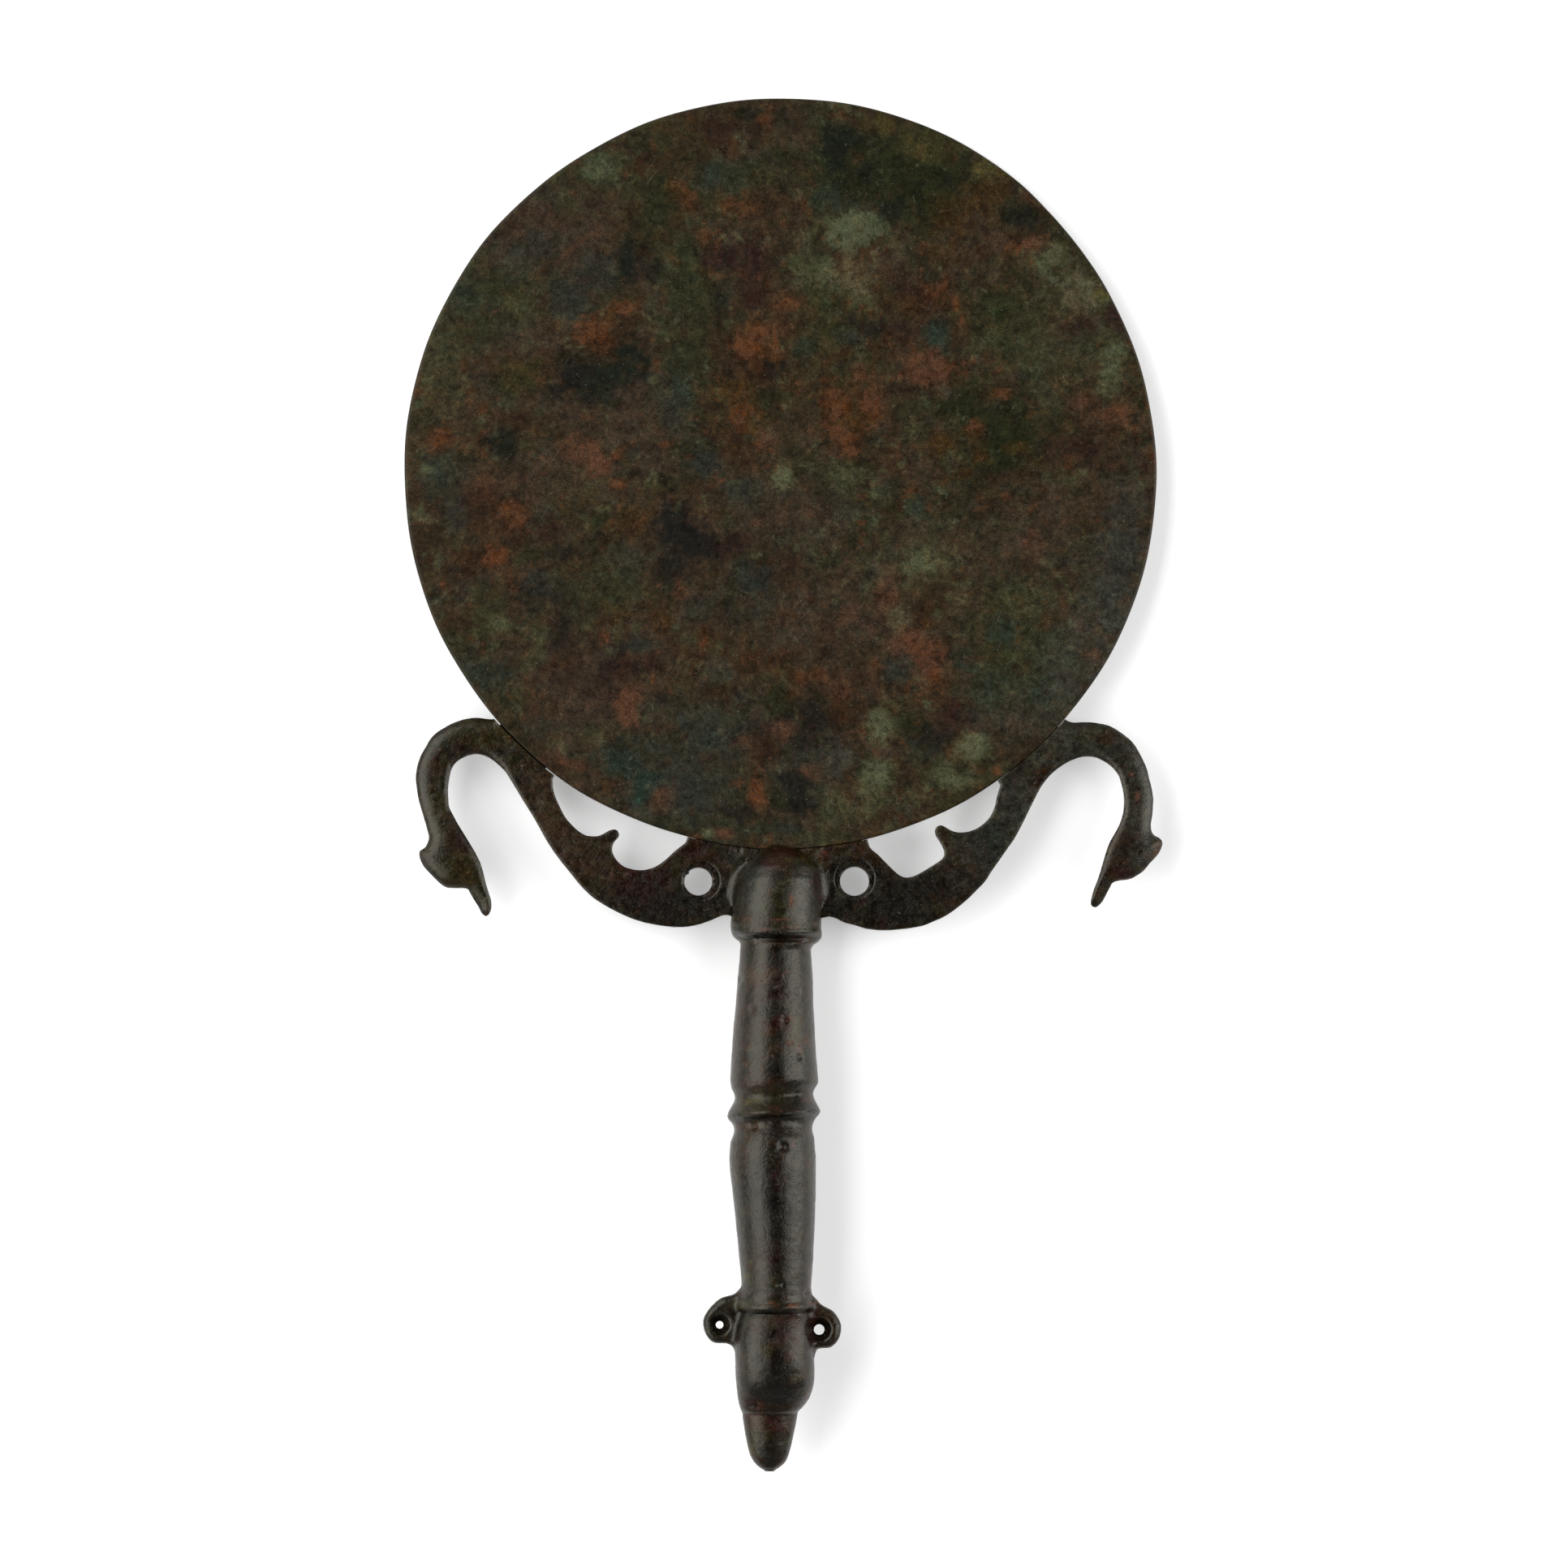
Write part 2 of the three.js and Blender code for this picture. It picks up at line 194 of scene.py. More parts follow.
# ------------------------------------------------------------------ plate with the two swans
# Edge of each arm from the plate over the neck, head and beak and back along its lower side.
LEFT_OUT = [
    (-57.75, 12.85), (-61.65, 13.16), (-64.34, 12.64), (-66.9, 11.52), (-69.75, 9.54), (-71.39, 7),
    (-72.56, 4.6), (-73.13, 1.53), (-72.97, -0.72), (-72.58, -3.15), (-71.79, -5.91), (-70.98, -8.69),
    (-70.53, -10.91), (-71.29, -12.68), (-72.35, -13.39), (-72.45, -14.13), (-72.29, -14.97), (-71.6, -16.4),
    (-70.63, -17.53), (-69.19, -19.01), (-67.8, -20.22), (-66.88, -20.65), (-65.14, -20.77), (-63.36, -20.8),
    (-62.78, -20.99), (-62.25, -21.92), (-61.55, -23.11), (-60.65, -24.5), (-59.9, -25.89), (-59.07, -26.35),
    (-58.23, -25.36), (-58.11, -23.36), (-58.61, -21.65), (-59.14, -20.01), (-59.66, -17.91), (-60.33, -15.61),
    (-61.19, -13.87), (-62.24, -12.05), (-63.54, -9.95), (-64.84, -7.85), (-65.79, -6.06), (-66.51, -4.63),
    (-66.69, -2.83), (-66.75, -0.87), (-66.16, 2.68), (-65.55, 3.87), (-64.61, 4.76), (-62.84, 5.64),
    (-61.1, 5.98), (-59.49, 5.65), (-58.16, 4.98), (-56.69, 3.85), (-55.26, 2.36), (-53.4, -0.61),
    (-51.6, -3.61), (-49.7, -6.68), (-46.73, -11.89), (-44.68, -14.84), (-42.45, -17.62), (-40.35, -20.21),
    (-38.06, -22.47), (-35.86, -23.96), (-33.78, -25.14), (-31.37, -26.29), (-28.63, -27.31), (-24.74, -28.16),
    (-20.85, -28.53), (-18.42, -28.36), (-16.47, -27.92), (-14.15, -27.08), (-12.04, -26.17), (-11.13, -26.1),
]
RIGHT_OUT = [
    (56.4, 12.65), (57.7, 12.2), (59.32, 12.27), (61.6, 12.23), (64.49, 11.72), (65.92, 11.09), (67.25, 10.23),
    (69.67, 8.17), (71.62, 4.84), (72.38, 3.08), (72.85, 1.14), (73.38, -0.93), (73.67, -2.84), (73.62, -4.43),
    (73.53, -6.04), (73.19, -8.31), (73.46, -9.76), (74.11, -10.39), (74.83, -10.77), (75.36, -11.33),
    (75.53, -11.91), (75.44, -12.29), (75, -13.41), (74.37, -14.36), (72.93, -15.9), (71.65, -17.42),
    (70.47, -18.22), (69.31, -18.87), (68.04, -19.15), (66.75, -19.3), (65.55, -19.75), (65.11, -20.59),
    (64.67, -21.37), (63.66, -23.34), (63.06, -24.03), (62.23, -24.62), (61.33, -24.23), (61.21, -23.52),
    (61.35, -22.69), (61.91, -20.77), (62.56, -19.16), (63.19, -17.29), (63.81, -15.1), (64.47, -13),
    (65.12, -11.39), (66.02, -9.82), (66.74, -8.48), (67.3, -7.15), (67.7, -5.72), (67.87, -4.28), (67.84, -2.5),
    (67.6, -0.91), (67.28, 0.36), (66.8, 1.72), (65.9, 2.95), (64.74, 4.03), (63.57, 4.72), (62.36, 5.28),
    (60.78, 5.49), (59.33, 5.39), (57.88, 4.9), (56.38, 4.18), (54.91, 3.22), (53.73, 2.28), (52.54, 1.02),
    (51.31, -0.66), (50.31, -2.53), (49.08, -4.98), (47.81, -7.57), (46.61, -9.89), (45.79, -11.27),
    (44.85, -12.58), (43.59, -14.43), (42.32, -16.22), (41.18, -17.9), (40.25, -19.35), (38.45, -21.23),
    (36.58, -23.06), (34.5, -24.77), (32.33, -26.28), (30.04, -27.34), (27.66, -28.28), (24.24, -28.84),
    (20.85, -29.15), (18.59, -29.1), (16.49, -28.82), (14.23, -28.12), (12.11, -27.58), (10.46, -26.76),
    (9.17, -26.41),
]
LEFT_HOLE = [
    (-46.23, 2.18), (-45.58, 1.94), (-43.79, 0.5), (-41.12, -1.15), (-36.78, -3.63), (-32.32, -5.88),
    (-29.42, -7.03), (-26.47, -7.97), (-23.12, -8.98), (-19.87, -9.92), (-18.94, -10.73), (-19.34, -11.64),
    (-20.33, -12.46), (-21.48, -13.33), (-22.65, -14.43), (-23.75, -15.42), (-24.75, -16.11), (-25.78, -16.66),
    (-27.34, -17.11), (-28.93, -17.2), (-30.33, -16.97), (-31.58, -16.55), (-32.69, -15.72), (-33.57, -14.6),
    (-33.99, -13.65), (-34.09, -12.85), (-33.77, -11.72), (-33.12, -10.92), (-32.74, -10.4), (-32.8, -9.61),
    (-33.46, -9.13), (-34.64, -9.36), (-35.83, -10.03), (-37.04, -10.48), (-38.15, -10.47), (-39.2, -10.33),
    (-40.22, -9.78), (-41.01, -9.24), (-42.32, -7.93), (-43.51, -6.45), (-44.47, -4.62), (-45.36, -2.6),
    (-45.88, -0.69), (-45.96, 1.07),
]
RIGHT_HOLE = [
    (16.97, -11.06), (16.92, -11.69), (17.23, -12.57), (17.92, -13.36), (18.74, -13.99), (20.69, -16),
    (22.82, -17.99), (23.67, -18.51), (24.57, -18.72), (25.65, -18.53), (26.69, -18.1), (29.2, -16.65),
    (31.59, -14.99), (31.95, -14.46), (32.12, -13.99), (31.89, -12.88), (31.29, -11.68), (30.42, -10.34),
    (30.23, -9.63), (30.27, -9.08), (30.72, -8.45), (31.39, -8.28), (32.1, -8.53), (32.73, -8.95),
    (33.97, -9.52), (35.24, -9.7), (36.36, -9.62), (37.43, -9.37), (38.79, -8.76), (40.17, -7.73),
    (41.05, -6.73), (41.76, -5.47), (42.25, -4.07), (42.58, -2.48), (43.05, -0.9), (43.5, 0.35), (43.85, 1),
    (43.4, 1.05), (42.9, 0.55), (39.87, -1.36), (36.66, -3.26), (33.09, -5.08), (29.41, -6.7), (25.85, -8.12),
    (22.13, -9.4), (19.55, -10.23),
]
LEFT_TIP, RIGHT_TIP = 29, 35          # the beaks' tips: before them the edge is the neck's and head's outer side

RIM_DEG = [-180, -175, -165, -155, -150, -122, -112, -106, -98, -30, -20, -10, 0, 10, 20, 30, 35, 45, 50, 55, 60, 65, 70, 80,
           90, 100, 110, 120, 130, 140, 150, 160, 170, 180]
RIM_MM = [74.90, 74.86, 74.97, 74.90, 74.86, 75.0, 74.82, 74.80, 75.0, 75.02, 75.05, 75.07, 75.0, 74.84, 74.87, 74.79, 74.70, 74.79, 75.09,
          75.25, 75.25, 75.17, 75.10, 75.0, 74.93, 74.86, 74.86, 74.82, 74.84, 75.0, 75.02, 75.07, 74.97, 74.90]


def rim(angle):
    """The plate's radius at an angle: it is a little out of round."""
    a = np.degrees(angle)
    return np.interp(a, RIM_DEG, RIM_MM) + 0.05 * np.sin(angle * 11) + 0.04 * np.sin(angle * 23 + 1)


left = curve(LEFT_OUT, False)
right = curve(RIGHT_OUT, False)
n_left = len(curve(LEFT_OUT[:LEFT_TIP + 1], False))
n_right = len(curve(RIGHT_OUT[:RIGHT_TIP + 1], False))
outer = np.concatenate([[(-48.0, 24.0)], left, [(-6.0, -27.5), (4.0, -27.5)], right[::-1], [(46.0, 24.0)]])


def opening(points):
    """An opening's edge, run on behind the plate where it meets the plate's rim."""
    p = curve(points, True)
    rx, ry = p[:, 0] - DISC_X, p[:, 1] - DISC_Y
    r = np.hypot(rx, ry)
    k = np.where(r < DISC_R + 0.9, (DISC_R - 4.0) / r, 1.0)
    return np.stack([DISC_X + rx * k, DISC_Y + ry * k], -1)


holes = [opening(LEFT_HOLE), opening(RIGHT_HOLE)]
plan = Plan(-78.0, 80.0, -33.0, 19.0, 0.3)
side = distance(plan.gx, plan.gy, outer, True)
side = np.where(inside(plan.gx, plan.gy, outer), -side, side)
to_hole = np.full(side.shape, 1e3)
for h in holes:
    d = distance(plan.gx, plan.gy, h, True)
    to_hole = np.minimum(to_hole, np.where(inside(plan.gx, plan.gy, h), -d, d))
to_back = np.minimum(distance(plan.gx, plan.gy, left[:n_left], False),
                     distance(plan.gx, plan.gy, right[:n_right], False))
to_arch = np.minimum(distance(plan.gx, plan.gy, left[n_left:-4], False),
                     distance(plan.gx, plan.gy, right[n_right:-4], False))
plan_fields = [np.maximum(side, -to_hole), to_back, to_arch, to_hole]

# Round bar from the socket's dome to the bead over the lugs: y, left edge, right edge, half depth.
BAR = [
    (-12.2, -2.4, 0.2, 1.9), (-12.5, -3.4, 1.6, 2.7), (-13.0, -4.3, 2.9, 3.7), (-13.8, -5.2, 4.3, 4.8),
    (-15.0, -6.4, 5.9, 6.0), (-16.5, -7.8, 7.0, 7.0), (-19.0, -9.2, 7.6, 7.9), (-22.0, -9.9, 7.8, 8.2),
    (-25.0, -10.2, 7.7, 8.3), (-27.6, -10.45, 7.6, 8.4), (-28.3, -10.43, 7.58, 8.25), (-28.9, -10.39, 7.6, 8.5),
    (-29.5, -10.3, 7.72, 8.45), (-30.0, -10.15, 7.7, 7.4), (-30.4, -9.9, 7.66, 6.3), (-30.8, -9.5, 7.55, 6.3),
    (-31.4, -8.7, 7.05, 6.75), (-32.1, -8.48, 5.95, 6.8), (-33.0, -8.58, 5.5, 6.75), (-34.2, -8.68, 5.6, 6.85),
    (-37.9, -8.99, 5.9, 7.1), (-43.1, -9.42, 5.97, 7.35), (-48.2, -9.9, 6.27, 7.7), (-53.4, -10.22, 6.5, 8.0),
    (-57.0, -10.48, 6.85, 8.3), (-59.0, -10.55, 7.02, 8.35), (-60.0, -10.3, 6.9, 8.1), (-61.0, -9.8, 6.4, 7.6),
    (-61.8, -9.58, 6.02, 7.15), (-62.4, -9.65, 5.98, 7.1), (-63.0, -9.9, 6.15, 7.3), (-63.8, -10.4, 6.5, 7.65),
    (-64.5, -10.83, 6.85, 8.05), (-65.1, -11.05, 7.2, 8.5), (-65.6, -11.15, 7.45, 8.75), (-66.0, -11.0, 7.4, 8.3),
    (-66.5, -10.7, 7.1, 7.3), (-67.1, -10.1, 6.5, 6.95), (-67.8, -9.8, 6.1, 6.9), (-68.5, -9.75, 5.85, 7.0),
    (-69.2, -9.9, 5.8, 7.3), (-70.0, -10.2, 5.9, 7.6), (-71.0, -10.5, 6.2, 7.85), (-74.1, -10.68, 6.52, 8.1),
    (-76.7, -10.6, 6.52, 8.1), (-79.3, -10.3, 6.52, 7.95), (-84.5, -9.72, 6.42, 7.55), (-89.6, -9.22, 6.18, 7.2),
    (-94.8, -8.7, 5.92, 6.8), (-97.4, -8.46, 5.75, 6.65), (-98.7, -8.34, 5.65, 6.55), (-99.6, -8.3, 5.6, 6.4),
    (-100.3, -8.45, 5.55, 6.65), (-101.4, -8.9, 5.7, 6.95), (-102.2, -9.1, 5.9, 6.85), (-102.7, -9.2, 6.1, 6.75),
    (-103.2, -9.5, 6.3, 7.1), (-103.9, -9.6, 6.4, 7.15), (-104.5, -9.2, 6.1, 6.7), (-105.0, -8.7, 5.7, 6.1),
    (-105.8, -8.6, 5.6, 6.0), (-106.6, -8.6, 5.6, 6.0),
]
# The head at the end: y, left edge, right edge, half depth, height of its axis.
CAP = [
    (-104.6, -8.3, 5.3, 5.9, 1.0), (-105.6, -8.8, 5.6, 6.4, 1.0), (-107.5, -9.35, 5.95, 6.9, 1.0),
    (-110.0, -9.75, 6.15, 7.2, 1.0), (-112.5, -9.65, 6.15, 7.35, 0.95), (-115.5, -9.5, 6.25, 7.3, 0.8),
    (-118.1, -9.42, 6.24, 6.9, 0.6), (-119.4, -9.3, 6.1, 6.5, 0.5), (-120.7, -9.15, 5.75, 5.9, 0.3),
    (-122.0, -9.0, 5.25, 5.2, 0.15), (-123.2, -8.8, 4.5, 4.6, 0.0), (-124.1, -8.55, 3.7, 4.35, -0.1),
    (-124.8, -8.2, 2.9, 4.15, -0.2), (-125.3, -7.4, 2.0, 3.0, -0.3), (-125.7, -5.8, 0.6, 1.8, -0.3),
    (-125.9, -3.6, -1.6, 0.6, -0.3),
]
MUZZLE = [
    (-117.5, -5.5, 1.0, 2.0, -0.3), (-119.0, -7.6, 2.6, 3.2, -0.3), (-122.0, -8.3, 3.2, 4.0, -0.35),
    (-125.8, -8.11, 2.78, 3.95, -0.45), (-127.8, -7.82, 2.42, 3.75, -0.55), (-129.7, -7.48, 2.03, 3.5, -0.7),
    (-131.7, -7.1, 1.62, 3.2, -0.85), (-133.6, -6.6, 1.1, 2.8, -0.95), (-134.7, -6.0, 0.62, 2.4, -1.0),
    (-135.6, -5.2, -0.15, 1.9, -1.0), (-136.3, -4.3, -1.2, 1.3, -1.0), (-136.75, -3.3, -2.1, 0.6, -1.0),
]
LUG_OUT = [
    [(-4.0, -101.0), (-8.24, -100.6), (-9.9, -101.55), (-12.6, -102.4), (-14.5, -104.2), (-15.75, -106.2),
     (-15.85, -107.8), (-15.3, -109.6), (-13.9, -111.1), (-11.2, -111.35), (-9.9, -111.9), (-8.0, -113.2), (-4.0, -113.0)],
    [(2.0, -103.0), (5.9, -102.1), (7.75, -103.7), (10.0, -105.0), (11.5, -107.6), (11.2, -110.0), (10.6, -111.1),
     (9.4, -112.1), (6.7, -112.45), (6.0, -113.6), (2.0, -113.0)],
]
LUG_HOLES = [(-12.65, -107.6, 0.72, 2.2), (7.15, -108.55, 1.02, 2.5)]     # x, y, bore radius, countersink radius
PLATE_HOLES = [(-16.9, -19.45, 2.75, -16.35, -19.35, 3.75), (14.2, -19.4, 2.86, 14.2, -18.95, 3.95)]
LEDGES = [(-138.0, -128.5), (-103.0, -77.5), (-52.5, -42.5)]

lug_plan = Plan(-20.0, 16.0, -117.0, -97.0, 0.2)
lug_edge = np.full(lug_plan.gx.shape, 1e3)
for points in LUG_OUT:
    loop = curve(points, True)
    d = distance(lug_plan.gx, lug_plan.gy, loop, True)
    lug_edge = np.minimum(lug_edge, np.where(inside(lug_plan.gx, lug_plan.gy, loop), -d, d))


def profile(rows, soften):
    """Fine tables of a bar's stations, with small steps eased."""
    r = np.array(rows, float)[::-1]
    y = np.arange(r[0, 0] - 0.5, r[-1, 0] + 0.5, 0.05)
    w = np.exp(-0.5 * (np.arange(-12, 13) * 0.05 / soften) ** 2)
    w /= w.sum()
    cols = []
    for c in range(1, r.shape[1]):
        v = np.interp(y, r[:, 0], r[:, c])
        cols.append(np.convolve(np.pad(v, 12, mode="edge"), w, mode="valid"))
    return y, cols


BAR_T, CAP_T, MUZZLE_T = profile(BAR, 0.16), profile(CAP, 0.3), profile(MUZZLE, 0.4)


def bar(x, y, z, table, flat=2.0):
    """Rough distance to a bar whose cross-sections are ovals."""
    yy, cols = table
    xl, xr, rz = (np.interp(y, yy, c) for c in cols[:3])
    z0 = np.interp(y, yy, cols[3]) if len(cols) > 3 else AXIS_Z
    rx = (xr - xl) / 2
    u, v = np.abs(x - (xl + xr) / 2) / rx, np.abs(z - z0) / rz
    if flat == 2.0:
        q = np.sqrt(u * u + v * v)
    else:
        q = (u ** flat + v ** flat) ** (1 / flat)
    d = (q - 1) * np.minimum(rx, rz)
    return np.maximum(d, np.maximum(y - yy[-1] + 0.5, yy[0] + 0.5 - y))


def rounded(t, w, b):
    """How far a face drops at distance t in from an edge that is rounded w wide and b deep."""
    s = 1 - np.clip(t / w, 0, 1)
    return b * (1 - np.sqrt(np.clip(1 - s * s, 0, 1)))


def bump(x, y, cx, cy, rx, ry, turn=0.0):
    c, s = math.cos(math.radians(turn)), math.sin(math.radians(turn))
    u, v = ((x - cx) * c + (y - cy) * s) / rx, (-(x - cx) * s + (y - cy) * c) / ry
    return np.exp(-(u * u + v * v))


def casting(x, y, z):
    """Negative inside the handle. x and y share a shape that broadcasts with z."""
    out = np.full(np.broadcast(x, y, z).shape, 50.0)
    edge, back, arch, hole = plan.read(plan_fields, x, y)
    rx, ry = x - DISC_X, y - DISC_Y
    r = np.hypot(rx, ry)
    ang = np.arctan2(ry, rx)
    deg = np.degrees(ang)
    gap = 0.10 + 0.16 * step(-124.0, -128.0, deg) - 0.02 * step(-60, -55, deg)
    cut = rim(ang) + gap - r                          # negative outside the plate's rim

    # arms, necks and heads
    neck = step(50.0, 60.0, np.abs(x + 0.5))
    head = bump(x, y, -66.2, -14.6, 5.6, 7.2, 20) + 0.85 * bump(x, y, 68.6, -13.2, 5.4, 6.6, -20)
    beak = step(-18.5, -24.5, y) * step(50, 56, np.abs(x))
    crown = bump(x, y, -60.5, 5.5, 6.0, 4.0, 0) + bump(x, y, 60.2, 5.0, 5.5, 4.0, 0)
    drop = rounded(back, 0.7 + 2.3 * neck, 0.35 + 1.1 * neck)
    drop = np.maximum(drop, rounded(arch, 0.55 + 0.7 * neck + 1.5 * crown, 0.35 + 0.35 * neck + 0.55 * crown))
    drop = np.maximum(drop, rounded(hole, 0.5, 0.32))
    swell = 0.95 * head - 0.55 * beak
    top = DISC_T + swell + 0.12 * neck - 0.05 - drop
    bottom = -1.4 - 0.9 * head + 0.3 * beak + drop
    flat_part = np.maximum(np.maximum(edge, cut), np.maximum(z - top, bottom - z))
    flat_part = np.where(edge > 45, 50.0, flat_part)

    # lap behind the plate's rim
    for a0, a1 in LEDGES:
        m = (a0 + a1) / 2
        turn = (np.abs(deg - m) - (a1 - a0) / 2) * math.radians(1) * 74
        lap = np.maximum(np.maximum(DISC_R - 5.0 - r, r - DISC_R - 1.6), np.maximum(turn, np.abs(z + 1.35) - 1.05))
        flat_part = smin(flat_part, lap, 0.35)

    # round bar, its rings a little out of square
    lean_ring = -0.065 * step(-58.5, -61.0, y) * step(-73.0, -70.0, y)
    sag = 0.07 * step(-25.0, -28.5, y) * step(-36.0, -31.5, y) + 0.10 * step(-97.0, -100.0, y)
    yb = y + lean_ring * (x + 1.8) + sag * np.clip(z - 1.0, -2, 9)
    shaft = bar(x, yb, z, BAR_T)
    k = 0.12 + 1.9 * step(-14.5, -18.5, y) * step(-25.5, -21.5, y)
    body = smin(flat_part, shaft, k)

    # head at the end, and its lugs
    sag = 0.10 * np.clip(z, -2, 8)
    cap = bar(x, y + sag, z, CAP_T, 2.35)
    muzzle = bar(x, y, z, MUZZLE_T, 2.1)
    end = smin(cap, muzzle, 0.5)
    body = smin(body, end, 0.35)
    e, = lug_plan.read([lug_edge], x, y)
    far = (y > -98.0) | (y < -116.0)
    lug_drop = rounded(-e, 1.4, 1.15)
    lug = np.maximum(e, np.abs(z - 0.9) - (2.3 - lug_drop))
    lug = np.where(far, 50.0, lug)
    body = smin(body, lug, 0.9)
    for hx, hy, hr, cr in LUG_HOLES:
        q = np.hypot(x - hx, y - hy)
        sink = q - (hr + (cr - hr) * np.clip((np.abs(z - 0.9) - 0.7) / 1.6, 0, 1.2))
        body = smax(body, -sink, 0.3)

    # round holes beside the socket, each in its recess
    for hx, hy, hr, cx, cy, cr in PLATE_HOLES:
        q = np.hypot(x - hx, y - hy)
        body = smax(body, hr + 0.35 * rounded(DISC_T - 0.45 - z, 0.6, 1.0) - q, 0.12)
        c = np.hypot(x - cx, y - cy)
        recess = np.maximum(c - cr, 2.08 - z)
        recess = np.where(z > 4.5, np.maximum(recess, z - 4.5), recess)
        body = smax(body, -recess, 0.25)
    body = np.where((np.hypot(x + 19.2, y + 17.7) < 0.75) & (z > -1.0) & (z < 1.6),
                    np.minimum(body, np.hypot(x + 19.35, y + 17.55) - 0.62), body)

    # the plate's seat, and the surface the mirror lies on
    seat = np.maximum(r - rim(ang) - gap, np.maximum(z - DISC_T - 0.06, -0.28 - z))
    body = np.maximum(body, -seat)
    return np.maximum(body, 0.02 - lift(y, z)) + out * 0


# ------------------------------------------------------------------ surface of the casting
def contour(box, blocks, pitch):
    """Dual contouring of casting() over the blocks: keeps sharp edges where they are sharp."""
    lo = np.array(box[0], float)
    n = (np.ceil((np.array(box[1]) - lo) / pitch)).astype(int) + 1
    ax = [lo[k] + pitch[k] * np.arange(n[k]) for k in range(3)]
    f = np.full(n, 9.0, np.float32)
    for b0, b1 in blocks:
        s = [slice(max(0, int((b0[k] - lo[k]) / pitch[k])), min(n[k], int((b1[k] - lo[k]) / pitch[k]) + 2)) for k in range(3)]
        for i in range(s[0].start, s[0].stop, 40):
            si = slice(i, min(i + 40, s[0].stop))
            f[si, s[1], s[2]] = casting(ax[0][si][:, None, None], ax[1][s[1]][None, :, None], ax[2][s[2]][None, None, :])
    neg = f < 0
    cells = n - 1
    pts, nrm, owners, quads = [], [], [], []
    for k in range(3):
        a = [slice(None)] * 3
        b = [slice(None)] * 3
        a[k], b[k] = slice(0, -1), slice(1, None)
        i, j, l = np.nonzero(neg[tuple(a)] != neg[tuple(b)])
        g = np.stack([i, j, l], -1)
        p0 = lo + g * pitch
        span = np.zeros(3)
        span[k] = pitch[k]
        g1 = g.copy()
        g1[:, k] += 1
        f0, f1 = f[i, j, l].astype(float), f[g1[:, 0], g1[:, 1], g1[:, 2]].astype(float)
        t0, t1 = np.zeros(len(g)), np.ones(len(g))
        for _ in range(4):                            # regula falsi with halving
            t = np.clip(t0 + (t1 - t0) * f0 / (f0 - f1), t0 + 0.02 * (t1 - t0), t1 - 0.02 * (t1 - t0))
            p = p0 + t[:, None] * span
            ft = casting(p[:, 0], p[:, 1], p[:, 2])
            same = (ft < 0) == (f0 < 0)
            f1 = np.where(same, f1 * 0.6, ft)
            t1 = np.where(same, t1, t)
            f0 = np.where(same, ft, f0 * 0.6)
            t0 = np.where(same, t, t0)
        t = t0 + (t1 - t0) * np.clip(f0 / (f0 - f1), 0, 1)
        p = p0 + t[:, None] * span
        grad = np.zeros_like(p)
        for c in range(3):
            d = np.zeros(3)
            d[c] = 0.03
            grad[:, c] = casting(*(p + d).T) - casting(*(p - d).T)
        grad /= np.maximum(np.linalg.norm(grad, axis=1), 1e-9)[:, None]
        o1, o2 = (k + 1) % 3, (k + 2) % 3
        ok = (g[:, o1] > 0) & (g[:, o2] > 0) & (g[:, o1] < cells[o1]) & (g[:, o2] < cells[o2])
        g, p, grad, flip = g[ok], p[ok], grad[ok], (f[i, j, l] < 0)[ok]
        ring = []
        for s1, s2 in ((1, 1), (0, 1), (0, 0), (1, 0)):
            c = g.copy()
            c[:, o1] -= s1
            c[:, o2] -= s2
            ring.append((c[:, 0] * cells[1] + c[:, 1]) * cells[2] + c[:, 2])
        ring = np.stack(ring, -1)
        for c in range(4):
            pts.append(p)
            nrm.append(grad)
            owners.append(ring[:, c])
        quads.append(np.where(flip[:, None], ring, ring[:, ::-1]))
    pts, nrm, owners, quads = map(np.concatenate, (pts, nrm, owners, quads))
    ids, inv = np.unique(owners, return_inverse=True)
    m = len(ids)
    count = np.bincount(inv, minlength=m)
    mean = np.stack([np.bincount(inv, pts[:, c], m) for c in range(3)], -1) / count[:, None]
    rel = np.einsum("ij,ij->i", nrm, pts - mean[inv])
    A = np.zeros((m, 3, 3))
    rhs = np.zeros((m, 3))
    for r in range(3):
        rhs[:, r] = np.bincount(inv, nrm[:, r] * rel, m)
        for c in range(3):
            A[:, r, c] = np.bincount(inv, nrm[:, r] * nrm[:, c], m)
    w, v = np.linalg.eigh(A)
    inv_w = np.where(w > 0.12 * w[:, 2:3], 1 / np.maximum(w, 1e-9), 0)
    x = np.einsum("nij,nj->ni", v, inv_w * np.einsum("nji,nj->ni", v, rhs))
    vert = mean + x
    cell = np.stack([ids // (cells[1] * cells[2]), ids // cells[2] % cells[1], ids % cells[2]], -1)
    c0 = lo + cell * pitch
    vert = np.clip(vert, c0 - 0.1 * pitch, c0 + 1.1 * pitch)
    return vert, np.searchsorted(ids, quads)


PITCH = np.array([0.41, 0.41, 0.41])
v_handle, q_handle = contour(
    ((-78.0, -139.0, -10.6), (79.0, 17.0, 11.4)),
    [((-78.0, -33.0, -4.6), (79.0, 17.0, 5.4)), ((-17.5, -139.0, -10.6), (13.5, -10.5, 11.4))], PITCH)


def largest(v, q):
    """Keeps the biggest connected shell."""
    label = np.arange(len(v))
    while True:
        low = label[q].min(1)
        new = label.copy()
        for c in range(4):
            np.minimum.at(new, q[:, c], low)
        new = new[new]
        if (new == label).all():
            break
        label = new
    names, counts = np.unique(label, return_counts=True)
    keep = label == names[counts.argmax()]
    back = np.cumsum(keep) - 1
    return v[keep], back[q[keep[q[:, 0]]]]


v_handle, q_handle = largest(v_handle, q_handle)


